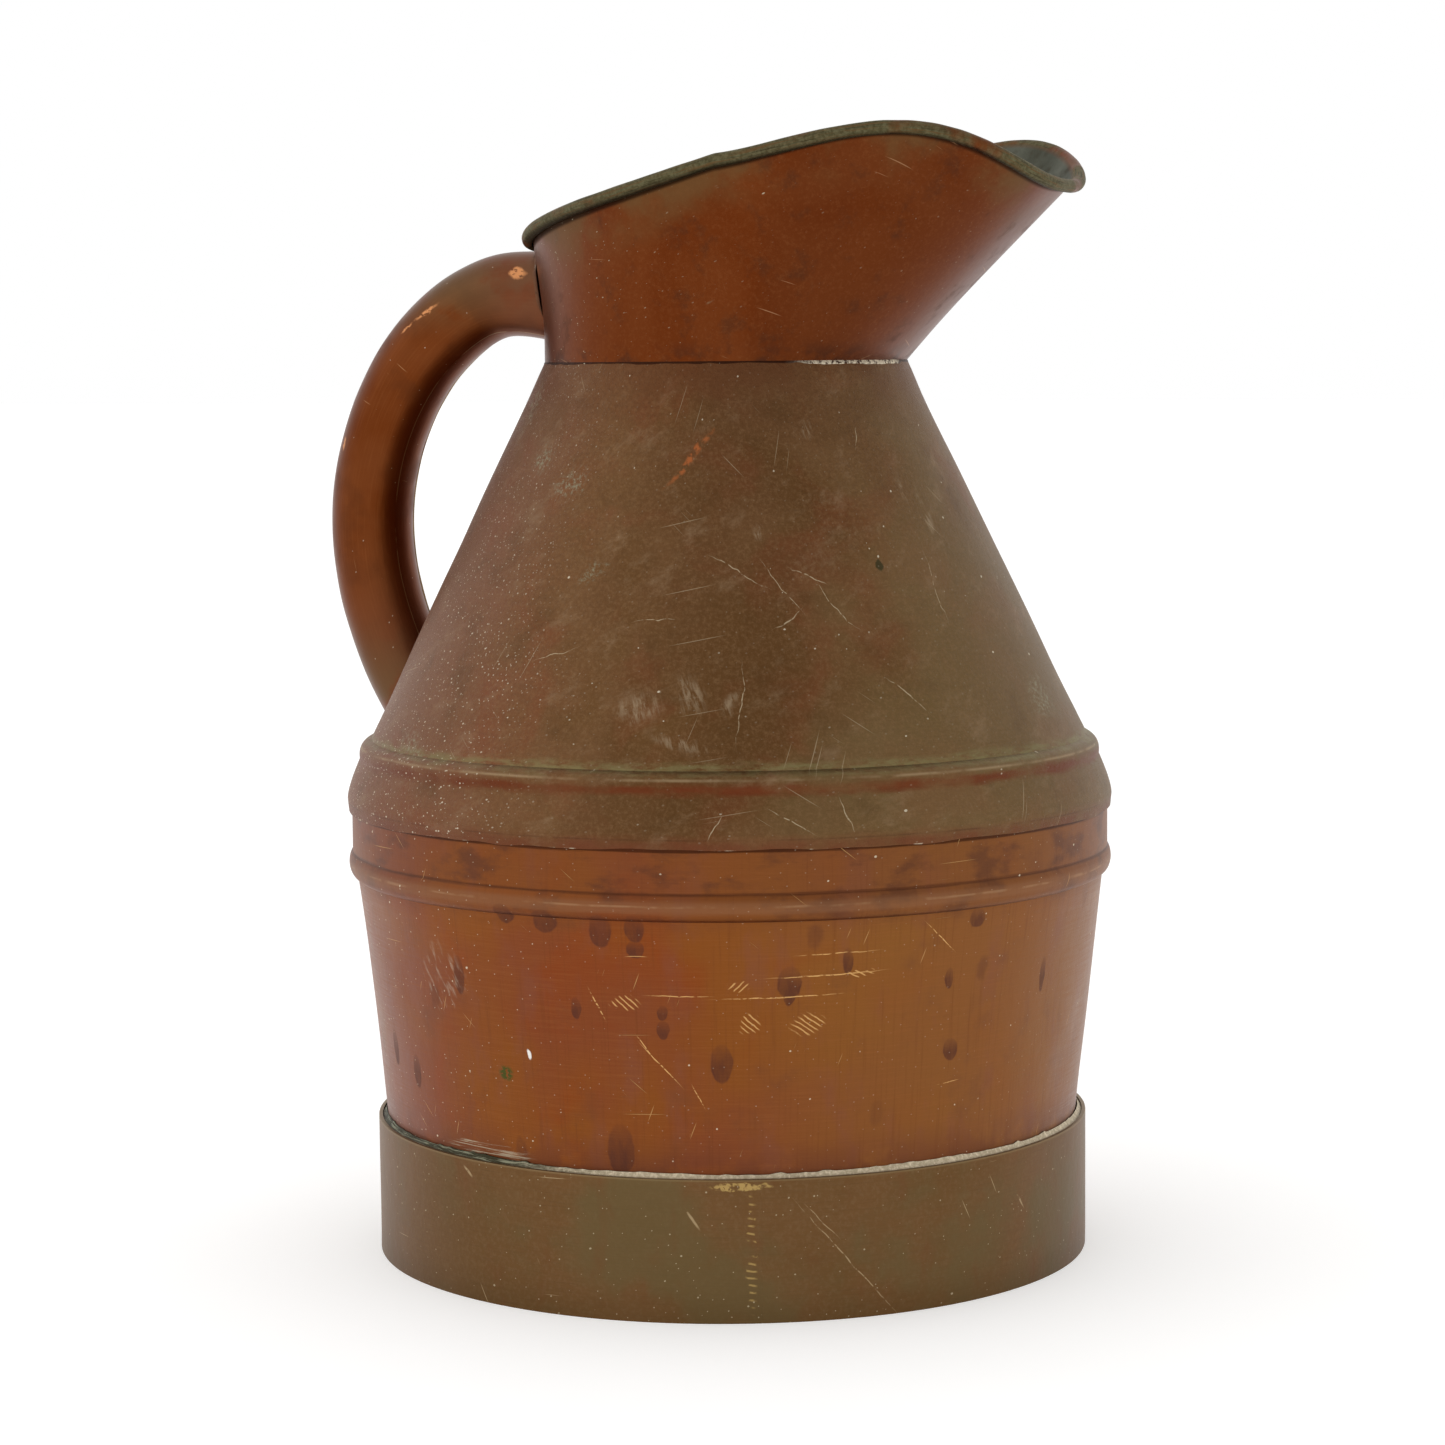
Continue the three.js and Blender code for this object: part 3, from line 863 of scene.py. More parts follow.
    def bump(self, height, depth):
        """Adds to the relief what a height between 0 and 1 lifts it by, up to the depth."""
        values = {"Height": height, "Distance": depth, "Strength": 1.0}
        if self.relief is not None:
            values["Normal"] = self.relief
        self.relief = self.node("ShaderNodeBump", values).outputs[0]

    def metal(self, roughness, metallic=1.0):
        shader = self.node(
            "ShaderNodeBsdfPrincipled",
            {
                "Base Color": self.colour,
                "Metallic": metallic,
                "Roughness": roughness,
                "Normal": self.relief,
            },
        )
        self.node("ShaderNodeOutputMaterial", {0: shader.outputs[0]})
        return self.material


# ---------------------------------------------------------------- materials

# The radii, in metres, at which the textures' widths are true
DRUM_UV_R = 0.116
CONE_UV_R = 0.089
BAND_UV_R = 0.113

# Marks round the jug: degrees from the spout, height, half width and half height in mm, and,
# for strokes, the tilt in radians
DRUM_DUST = (-115.0, 99.0, 12.0, 12.0)
DRUM_GREEN_SPOT = (-103.0, 71.4, 3.4, 2.8)
DRUM_NICK = (-98.4, 78.0, 0.8, 2.0, 0.25)
DRUM_SILVER = (-108.0, 46.2, 21.0, 2.6, -0.02)
CONE_DABS = (-76.5, 254.5, 15.0, 1.7, 0.75)
CONE_PIT = (-36.5, 221.6, 1.6, 2.2)
BAND_SMEAR = (-67.0, 41.2, 10.5, 1.3)
BAND_TICKS = (-65.4, 22.0, 1.6, 22.0, 1.4)
BAND_GOUGES = [
    (-51.0, 18.0, 30.0, 0.24, -0.85),
    (-55.0, 30.0, 9.0, 0.2, -0.8),
    (-74.4, 31.3, 4.5, 0.5, -1.0),
    (-18.0, 27.2, 4.0, 0.4, -0.9),
    (-113.0, 39.5, 3.0, 0.6, -0.7),
]
DRIPS = [
    (-68.6, 78.0, 3.6, 6.4),
    (-58.9, 102.0, 3.8, 5.4),
    (-58.9, 98.2, 2.0, 3.2),
    (-80.6, 118.5, 3.2, 4.6),
    (-80.6, 112.2, 2.8, 3.0),
    (-85.6, 117.5, 3.6, 5.6),
    (-94.0, 119.5, 4.2, 4.0),
    (-100.5, 121.0, 3.4, 3.4),
    (-110.8, 100.0, 2.4, 6.4),
    (-133.0, 71.0, 2.4, 6.4),
    (-124.9, 66.0, 2.6, 5.8),
    (-90.0, 93.5, 1.7, 3.8),
    (-77.0, 93.0, 1.7, 2.6),
    (-77.0, 88.0, 2.1, 3.0),
    (-84.0, 51.0, 4.6, 8.5),
    (-50.5, 108.0, 1.7, 4.4),
    (-29.6, 117.5, 3.0, 3.2),
    (-34.0, 100.0, 1.7, 3.6),
    (-33.0, 78.0, 3.0, 3.6),
    (-13.0, 96.0, 1.6, 6.0),
]
DRUM_GOUGES = [
    (-52.0, 110.4, 15.0, 0.2, 0.02),
    (-53.5, 104.0, 21.0, 0.26, 0.03),
    (-60.1, 97.8, 23.0, 0.24, 0.02),
    (-74.6, 98.2, 12.0, 0.2, 0.0),
    (-80.5, 110.0, 4.0, 0.16, 0.0),
    (-86.7, 95.1, 6.5, 0.3, -1.1),
    (-77.5, 77.4, 11.0, 0.22, -0.82),
    (-79.6, 82.5, 6.0, 0.2, -0.95),
    (-72.0, 68.0, 5.0, 0.2, -1.1),
    (-36.0, 113.0, 9.0, 0.18, -0.75),
    (-33.0, 68.0, 5.0, 0.16, 0.1),
]
DRUM_HATCHES = [
    (-66.3, 101.4, 3.6, 2.0, -0.75),
    (-64.4, 90.0, 3.6, 4.0, 0.8),
    (-56.2, 89.3, 5.4, 3.4, 0.95),
    (-82.4, 95.6, 5.4, 2.2, 0.8),
    (-48.6, 103.8, 5.0, 1.1, 1.1),
]
CONE_GOUGES = [
    (-37.6, 183.0, 9.0, 0.26, -0.75),
    (-66.5, 221.0, 12.0, 0.2, -0.5),
    (-58.0, 216.0, 13.0, 0.18, -0.9),
    (-52.0, 219.0, 8.0, 0.2, -0.3),
    (-48.0, 211.0, 11.0, 0.2, -1.0),
    (-57.0, 207.0, 6.0, 0.3, 0.6),
    (-24.0, 214.0, 14.0, 0.16, 1.5),
    (-66.5, 183.0, 14.0, 0.18, 1.5),
    (-82.0, 206.0, 9.0, 0.16, 0.1),
    (-100.0, 196.0, 9.0, 0.16, 0.35),
    (-33.0, 260.0, 5.0, 0.2, 0.9),
    (-70.0, 148.0, 5.0, 0.2, 1.3),
    (-60.0, 150.0, 8.0, 0.22, -0.7),
    (-52.0, 151.5, 6.0, 0.2, -1.2),
]
CONE_SCUFFS = [
    (-24.0, 244.0, 1.6, 7.0, 0.1),
    (-19.0, 241.0, 1.4, 6.0, -0.15),
    (-18.0, 233.0, 3.2, 4.5, 0.4),
    (-74.5, 186.0, 4.5, 8.0, 0.3),
    (-68.0, 183.0, 2.4, 6.0, -0.4),
    (-83.0, 182.0, 8.0, 5.0, 0.2),
    (-76.0, 172.0, 10.0, 3.0, -0.3),
    (-47.0, 262.0, 3.0, 4.0, -0.4),
    (-62.0, 232.0, 2.4, 3.0, 0.0),
]
CONE_BLOOMS = [
    (-140.0, 270.0, 9.0, 13.0, 0.3),
    (-121.0, 254.0, 8.0, 7.0, 0.5),
    (-108.0, 247.0, 11.0, 4.0, 0.3),
    (-128.0, 168.0, 11.0, 4.0, -0.5),
    (-96.0, 220.0, 8.0, 4.0, 0.4),
    (-4.0, 178.0, 10.0, 9.0, 0.5),
]


def mark(shader, vector, row, radius, soft=0.35):
    """An ellipse at a place round the jug, tilted if its row ends in a tilt."""
    degrees, height, half_width, half_height, *tilt = row
    centre = (math.radians(degrees) * radius, height * MM)
    size = (half_width * MM, half_height * MM)
    return shader.spot(vector, centre, size, tilt[0] if tilt else 0.0, soft)


def marks_from(shader, vector, rows, radius, soft):
    total = 0.0
    for row in rows:
        total = shader.largest(mark(shader, vector, row, radius, soft), total)
    return total


def hatching(shader, vector, row, radius, spacing):
    """A ragged patch of short parallel strokes. The row's tilt is the strokes'."""
    degrees, height, *_, angle = row
    centre = (math.radians(degrees) * radius, height * MM, 0)
    local = shader.measured(shader.wandering(vector, 0.005, 0.0014), (1, 1), angle, centre)
    wave = shader.math("SINE", shader.product(shader.component(local, 0), TURN / spacing))
    patch = mark(shader, shader.wandering(vector, 0.004, 0.005), row[:4], radius, 0.4)
    return shader.product(patch, shader.ramp(wave, 0.45, 0.9))


def drip_stains(shader, vector, rows, radius):
    """Stains with a crisp round lower edge that fade away upward."""
    total = 0.0
    for degrees, height, half_width, half_height in rows:
        centre = (math.radians(degrees) * radius, height * MM, 0)
        local = shader.measured(vector, (half_width * MM, half_height * MM), 0.0, centre)
        far = shader.node("ShaderNodeVectorMath", {0: local}, operation="LENGTH").outputs["Value"]
        up = shader.component(local, 1)
        stain = shader.product(shader.ramp(far, 1.0, 0.84), shader.ramp(up, 1.5, -0.4))
        total = shader.largest(stain, total)
    return total


def at_height(shader):
    """The texture's place round the jug with the true height: (length round, height, 0)."""
    round_jug = shader.component(shader.uv, 0)
    return shader.node("ShaderNodeCombineXYZ", {0: round_jug, 1: shader.height}).outputs[0]


def seam_solder(shader):
    """A narrow, ragged line of solder along the lapped side seam, behind the grip."""
    ragged = shader.wandering(shader.place, 0.004, 0.0016)
    x, y = shader.component(ragged, 0), shader.component(ragged, 1)
    behind = shader.math("LESS_THAN", x, -0.03)
    line = shader.between(y, -0.0004, 0.0012, 0.0004)
    shader.coat(0x8E8A7E, behind, line, 0.8)


def tinned(shader, roughness):
    """A dulled and stained tin wash on the inside, and the roughness with it."""
    inside = shader.attribute("inside")
    cloud = shader.noise(shader.place, 0.02, 5.0)
    worn = shader.ramp(shader.noise(shader.place, 0.007, 5.0), 0.48, 0.7)
    tin = shader.mix(shader.ramp(cloud, 0.3, 0.7), srgb(0x45463A), srgb(0x65665A))
    tin = shader.paint(tin, 0x45382A, worn, 0.4)
    shader.colour = shader.mix(inside, shader.colour, tin)
    return shader.blend(inside, roughness, shader.blend(worn, 0.55, 0.7))


def drum_copper():
    """Orange-brown copper with drip stains, fresh scratches and a dark belt at the top."""
    s = Shader("drum_copper")
    height = s.height
    flat = at_height(s)
    cloud = s.ramp(s.noise(s.place, 0.06, 3.0), 0.4, 0.6)
    s.base(cloud, 0x81491F, 0x7C4226)
    redder = s.ramp(s.noise(s.place, 0.035, 4.0, 0.5, 0.6), 0.5, 0.7)
    s.coat(0x833C18, redder, 0.5)
    spoutward = s.ramp(s.component(s.place, 0), 0.035, 0.1)
    s.coat(0x82592D, spoutward, 0.6)
    veil = s.ramp(s.noise(s.measured(flat, (0.012, 0.03)), 1.0, 4.0, 0.6), 0.5, 0.72)
    s.coat(0x79493A, veil, 0.4)
    brushed = s.noise(s.measured(flat, (0.02, 0.0005)), 1.0, 4.0, 0.65)
    upright = s.noise(s.measured(flat, (0.0009, 0.035)), 1.0, 3.0, 0.6)
    s.coat(0x9A5F34, s.ramp(brushed, 0.4, 0.8), 0.3)
    s.coat(0x6A3B20, s.ramp(upright, 0.5, 0.8), 0.45)
    tarnish = s.ramp(s.noise(s.place, 0.02, 6.0, 0.65), 0.52, 0.72)
    s.coat(0x67402C, tarnish, 0.4)
    low = s.product(s.ramp(height, 0.058, 0.043), s.ramp(s.noise(s.place, 0.012, 5.0), 0.3, 0.55))
    s.coat(0x63382A, low, 0.6)

    ragged_height = s.math("ADD", height, s.product(s.math("SUBTRACT", brushed, 0.5), 0.0014))
    belt = s.ramp(height, 0.115, 0.125)
    blotch = s.ramp(s.noise(s.measured(flat, (0.016, 0.01)), 1.0, 5.0, 0.6), 0.48, 0.66)
    s.coat(0x74442C, belt, 0.35)
    s.coat(0x563528, belt, blotch, 0.6)
    # Lighter brown over the drum's bead: a brown patina with painted light on the bulge
    ridge = s.between(ragged_height, 0.1232, 0.1268, 0.0009)
    s.coat(0x8C6448, ridge, 0.4)
    # A thin pale line along the bead's crest: a painted highlight
    crest_highlight = s.between(ragged_height, 0.1250, 0.1256, 0.0003)
    patchy = s.ramp(s.noise(flat, 0.01, 3.0), 0.4, 0.6)
    s.coat(0xB28E6A, crest_highlight, patchy, 0.35)
    # A dark line in the crease above the bead: painted shade
    shade_above_bead = s.between(ragged_height, 0.1284, 0.1292, 0.0004)
    s.coat(0x4F2C1C, shade_above_bead, 0.7)
    # A thin dark line just under the skirt's lapped edge: painted shade
    shade_under_lap = s.between(ragged_height, 0.1411, 0.1425, 0.0003)
    s.coat(0x3B1E12, shade_under_lap, 0.8)

    ragged = s.wandering(flat, 0.0035, 0.0012)
    distance, chance = s.cells(s.wandering(flat, 0.008, 0.006), (0.03, 0.05), 0.0, 4)
    faint = s.product(s.ramp(distance, 0.1, 0.05), s.ramp(chance, 0.55, 0.8), 0.45)
    drip = s.largest(drip_stains(s, ragged, DRIPS, DRUM_UV_R), faint)
    streaked = s.blend(s.ramp(s.noise(s.measured(flat, (0.002, 0.006))), 0.3, 0.7), 0.6, 0.95)
    s.coat(0x57342A, drip, streaked, 0.85)

    fine_scratch = s.largest(
        s.scratches(flat, 0.03, 0.016, 0.00012, 0.14, 1),
        s.scratches(flat, -0.7, 0.009, 0.00012, 0.08, 2),
        s.scratches(flat, 1.2, 0.006, 0.00013, 0.08, 3),
    )
    gouge = marks_from(s, s.wandering(flat, 0.006, 0.0009), DRUM_GOUGES, DRUM_UV_R, 0.6)
    broken = s.ramp(s.noise(s.measured(flat, (0.0022, 0.0008)), 1.0, 3.0), 0.38, 0.52)
    fresh = s.largest(s.product(fine_scratch, 0.55), s.product(gouge, broken))
    for row in DRUM_HATCHES:
        fresh = s.largest(fresh, s.product(hatching(s, flat, row, DRUM_UV_R, 0.0014), 0.85))
    s.coat(0xD2A468, fresh, 0.9)
    leftward = s.ramp(s.component(s.place, 0), 0.02, -0.07)
    speck = s.largest(
        s.product(s.specks(flat, 0.0026, 0.00022, 0.5, 5), s.blend(leftward, 0.25, 1.0)),
        s.product(s.specks(flat, 0.0045, 0.0003, 0.5, 6), s.ramp(tarnish, 0.0, 0.6)),
        s.specks(flat, 0.012, 0.0004, 0.3, 7),
    )
    s.coat(0xDCCFB4, speck, 0.7)
    dust = mark(s, s.wandering(flat, 0.01, 0.012), DRUM_DUST, DRUM_UV_R)
    slanting = s.noise(s.measured(flat, (0.002, 0.007), 0.5), 1.0, 4.0)
    s.coat(0xA8917C, dust, s.ramp(slanting, 0.5, 0.7), 0.5)
    green = mark(s, ragged, DRUM_GREEN_SPOT, DRUM_UV_R, 0.5)
    crumbs = s.product(green, s.ramp(s.noise(flat, 0.0012, 3.0), 0.36, 0.5))
    s.coat(0x4A4C22, crumbs)
    nick = mark(s, ragged, DRUM_NICK, DRUM_UV_R, 0.4)
    s.coat(0xE6E2DC, nick)
    streak_place = mark(s, s.wandering(flat, 0.006, 0.004), DRUM_SILVER, DRUM_UV_R)
    silver = s.product(streak_place, s.ramp(brushed, 0.5, 0.62))
    s.coat(0xB0A48C, silver, 0.8)

    seam_solder(s)
    roughness = s.blend(s.ramp(brushed, 0.3, 0.8), 0.36, 0.46)
    roughness = s.blend(s.largest(drip, s.product(belt, 0.6)), roughness, 0.52)
    roughness = tinned(s, roughness)
    s.bump(brushed, 0.00005)
    s.bump(s.noise(s.place, 0.006, 3.0), 0.00012)
    s.bump(s.math("SUBTRACT", crumbs, fine_scratch), 0.00008)
    return s.metal(roughness)


def base_copper():
    """The underside of the bottom: stained, and scraped in all directions. Tinned inside."""
    s = Shader("base_copper")
    cloud = s.ramp(s.noise(s.place, 0.03, 4.0), 0.35, 0.65)
    s.base(cloud, 0x7A4426, 0x653C28)
    tarnish = s.ramp(s.noise(s.place, 0.012, 6.0, 0.65), 0.5, 0.7)
    s.coat(0x4A3022, tarnish, 0.6)
    scratch = s.largest(
        s.scratches(s.place, 0.3, 0.02, 0.00014, 0.14, 51),
        s.scratches(s.place, 1.4, 0.012, 0.00014, 0.1, 52),
        s.scratches(s.place, -0.6, 0.009, 0.00014, 0.1, 53),
    )
    s.coat(0xB98F62, scratch, 0.7)
    speck = s.specks(s.place, 0.004, 0.00028, 0.4, 54)
    s.coat(0xC9BB9B, speck, 0.5)
    roughness = tinned(s, s.blend(tarnish, 0.42, 0.58))
    s.bump(s.noise(s.place, 0.006, 3.0), 0.00015)
    s.bump(s.noise(s.place, 0.0014, 4.0, 0.65), 0.00005)
    return s.metal(roughness)


def shoulder_copper():
    """Olive-brown patina, redder beside the grip with painted light there, painted shade right of
    the middle, and verdigris along the bead.
    """
    s = Shader("shoulder_copper")
    height = s.height
    flat = at_height(s)
    cloud = s.ramp(s.noise(s.place, 0.05, 5.0, 0.55, 0.4), 0.35, 0.65)
    s.base(cloud, 0x66482A, 0x6F4F33)
    drifting = s.product(s.math("SUBTRACT", s.noise(s.place, 0.05, 4.0), 0.5), 0.12)
    spoutward = s.math("ADD", s.component(s.place, 0), drifting)
    # Lighter and redder toward the grip side: a redder patina with painted light on that side
    left = s.ramp(spoutward, 0.01, -0.06)
    s.coat(0x7E533D, left, 0.7)
    ruddy = s.product(s.ramp(s.noise(s.place, 0.028, 4.0, 0.55, 0.5), 0.48, 0.7), 0.5)
    s.coat(0x79442C, ruddy)
    shaded = s.product(s.ramp(spoutward, 0.005, 0.03), s.ramp(spoutward, 0.07, 0.045), 0.35)
    s.coat(0x50331A, shaded)
    right = s.ramp(spoutward, 0.055, 0.09)
    s.coat(0x70603F, right, 0.5)
    fine = s.noise(s.place, 0.0012, 5.0, 0.75)
    brushed = s.noise(s.measured(flat, (0.012, 0.0007)), 1.0, 4.0, 0.6)
    s.coat(0x8C6C4C, s.ramp(fine, 0.42, 0.75), 0.45)
    s.coat(0x523A23, s.ramp(brushed, 0.45, 0.75), 0.15)
    dark = s.product(s.ramp(s.noise(s.place, 0.016, 6.0, 0.65), 0.52, 0.75), 0.4)
    s.coat(0x50381F, dark)
    bloom = s.ramp(s.noise(s.measured(flat, (0.02, 0.012), 0.5), 1.0, 6.0, 0.75), 0.52, 0.75)
    s.coat(0x967C60, bloom, 0.45)

    mottle = s.noise(s.measured(flat, (0.012, 0.003)), 1.0, 5.0, 0.65)
    ragged_height = s.math("ADD", height, s.product(s.math("SUBTRACT", mottle, 0.5), 0.004))
    verdigris = s.between(ragged_height, 0.1630, 0.1660, 0.0016)
    crumbly = s.ramp(s.noise(s.measured(flat, (0.006, 0.002)), 1.0, 5.0, 0.75), 0.36, 0.6)
    s.coat(0x827C54, verdigris, crumbly, 0.6)
    # A thin pale line along the bead's crest: a painted highlight
    bead_highlight = s.between(height, 0.1615, 0.1621, 0.0004)
    patchy = s.ramp(s.noise(flat, 0.012, 4.0), 0.36, 0.6)
    s.coat(0xA18A6A, bead_highlight, patchy, 0.7)
    red_belt = s.between(ragged_height, 0.1575, 0.1604, 0.0012)
    s.coat(0x68321C, red_belt, s.blend(patchy, 0.35, 0.85))
    edge = s.ramp(ragged_height, 0.1475, 0.1425)
    s.coat(0x6C3D29, edge, s.blend(patchy, 0.4, 0.8))
    line = s.between(height, 0.1447, 0.1450, 0.0003)
    s.coat(0x432A1C, line, patchy, 0.5)
    # Pale flecks along the skirt's lower edge: a painted highlight
    lap_edge_highlight = s.ramp(s.noise(flat, 0.004, 5.0), 0.56, 0.66)
    s.coat(0xCDBDA2, s.ramp(height, 0.1421, 0.1418), lap_edge_highlight, 0.8)
    top = s.product(s.ramp(height, 0.255, 0.282), s.ramp(s.noise(s.place, 0.025, 4.0), 0.35, 0.6))
    s.coat(0x643C26, top, 0.6)

    grey = marks_from(s, s.wandering(flat, 0.008, 0.012), CONE_BLOOMS, CONE_UV_R, 0.9)
    flecks = s.ramp(s.noise(flat, 0.0016, 5.0, 0.8), 0.46, 0.66)
    s.coat(0x9A9A80, grey, flecks, 0.75)
    rubbed = marks_from(s, s.wandering(flat, 0.005, 0.006), CONE_SCUFFS, CONE_UV_R, 0.9)
    strokes = s.ramp(s.noise(s.measured(flat, (0.0012, 0.006), 0.3), 1.0, 4.0, 0.7), 0.42, 0.62)
    s.coat(0xA8957A, rubbed, strokes, 0.5)
    fine_scratch = s.largest(
        s.scratches(flat, 1.25, 0.014, 0.00012, 0.1, 11),
        s.scratches(flat, 0.2, 0.018, 0.00012, 0.1, 12),
        s.scratches(flat, -0.7, 0.012, 0.00012, 0.1, 13),
    )
    curved = s.wandering(flat, 0.014, 0.007)
    gouge = marks_from(s, curved, CONE_GOUGES, CONE_UV_R, 0.7)
    broken = s.ramp(s.noise(flat, 0.0016, 3.0), 0.36, 0.52)
    scuff = s.largest(s.product(fine_scratch, 0.5), s.product(gouge, broken))
    s.coat(0xBDAB8C, scuff, 0.75)
    dabs = mark(s, curved, CONE_DABS, CONE_UV_R, 0.7)
    lumps = s.ramp(s.noise(flat, 0.003, 4.0), 0.45, 0.58)
    s.coat(0xAA6136, dabs, lumps, 0.85)
    pit = mark(s, s.wandering(flat, 0.002, 0.0016), CONE_PIT, CONE_UV_R)
    s.coat(0x32331F, pit, 0.8)
    drift = s.ramp(s.noise(s.place, 0.03, 4.0), 0.4, 0.62)
    speck = s.largest(
        s.product(s.specks(flat, 0.0013, 0.00022, 0.7, 15), left, s.blend(drift, 0.4, 1.0)),
        s.product(s.specks(flat, 0.0026, 0.0003, 0.55, 16), s.blend(left, 0.12, 1.0)),
        s.product(s.specks(flat, 0.007, 0.0003, 0.4, 17), drift),
        s.specks(flat, 0.016, 0.0004, 0.3, 18),
    )
    s.coat(0xDAD0B8, speck, 0.7)
    seam_solder(s)
    roughness = s.blend(fine, 0.42, 0.56)
    roughness = tinned(s, roughness)
    s.bump(fine, 0.00007)
    s.bump(s.noise(s.place, 0.006, 3.0), 0.00015)
    s.bump(s.math("SUBTRACT", flecks, fine_scratch), 0.00005)
    return s.metal(roughness)


def spout_copper():
    """Smooth red-brown copper, crusted with verdigris on the roll."""
    s = Shader("spout_copper")
    up, roll, inside = s.attribute("up"), s.attribute("roll"), s.attribute("inside")
    below, tucked = s.attribute("below_rim"), s.attribute("tucked")
    cloud = s.ramp(s.noise(s.place, 0.05, 3.0, 0.5, 0.8), 0.35, 0.65)
    s.base(cloud, 0x612B0E, 0x6B3618)
    # A darker diagonal zone across the spout: a painted dark reflection
    dark_reflection = s.ramp(s.noise(s.measured(s.place, (0.05, 0.09), 0.6), 1.0, 2.0), 0.48, 0.62)
    s.coat(0x542812, dark_reflection, 0.4)
    fine = s.noise(s.place, 0.0013, 5.0, 0.7)
    mottled = s.ramp(s.noise(s.place, 0.012, 5.0, 0.65), 0.52, 0.7)
    s.coat(0x4C2C1C, mottled, 0.5)
    s.coat(0x83502E, s.ramp(fine, 0.45, 0.75), 0.25)
    uneven = s.ramp(s.noise(s.place, 0.035, 5.0, 0.6), 0.42, 0.62)
    smear = s.product(s.ramp(below, 26.0, 4.0), uneven)
    s.coat(0x6B5232, smear, 0.6)
    foot = s.product(s.ramp(up, 0.12, 0.0), s.ramp(s.noise(s.place, 0.008, 5.0), 0.46, 0.62))
    s.coat(0x42261A, foot, 0.7)
    # A dark band on the wall just under the rolled rim: painted shade
    shade_under_roll = s.product(s.inverse(roll), s.ramp(below, 4.2, 2.8), s.inverse(inside))
    s.coat(0x27170E, shade_under_roll, 0.75)

    crust = s.product(roll, s.ramp(s.noise(s.place, 0.03, 5.0), 0.34, 0.46))
    along = s.noise(s.measured(s.uv, (0.012, 0.0006)), 1.0, 4.0, 0.6)
    verdigris = s.mix(s.ramp(fine, 0.35, 0.65), srgb(0x524F36), srgb(0x6F6C50))
    verdigris = s.paint(verdigris, 0x6E5334, s.ramp(along, 0.5, 0.62), 0.7)
    verdigris = s.paint(verdigris, 0x35301E, s.ramp(along, 0.46, 0.36), 0.6)
    s.colour = s.mix(s.product(crust, 0.9), s.colour, verdigris)
    # The roll's tucked underside darkened: painted shade
    s.coat(0x2A2014, s.ramp(tucked, 0.62, 0.84), roll, 0.8)

    scratch = s.largest(
        s.scratches(s.place, 0.9, 0.008, 0.00012, 0.08, 21),
        s.scratches(s.uv, -0.3, 0.012, 0.00012, 0.08, 22),
    )
    s.coat(0xB08560, scratch, 0.5)
    behind = s.ramp(s.component(s.place, 0), 0.03, -0.04)
    speck = s.largest(
        s.product(s.specks(s.uv, 0.0026, 0.0002, 0.5, 23), s.blend(behind, 0.1, 1.0)),
        s.product(s.specks(s.uv, 0.006, 0.00035, 0.4, 24), s.blend(behind, 0.2, 1.0)),
        s.specks(s.uv, 0.02, 0.0005, 0.3, 25),
    )
    s.coat(0xC8BDA0, speck, s.inverse(roll), 0.65)
    smudge = s.specks(s.wandering(s.uv, 0.004, 0.003), 0.07, 0.0042, 0.3, 26)
    s.coat(0x8C8064, smudge, s.inverse(roll), 0.6)
    roughness = s.blend(s.largest(smear, mottled), 0.37, 0.48)
    roughness = s.blend(s.largest(crust, shade_under_roll), roughness, 0.66)
    roughness = tinned(s, roughness)
    s.bump(s.noise(s.place, 0.006, 3.0), 0.0001)
    s.bump(s.product(s.math("ADD", fine, along), crust), 0.00016)
    return s.metal(roughness)


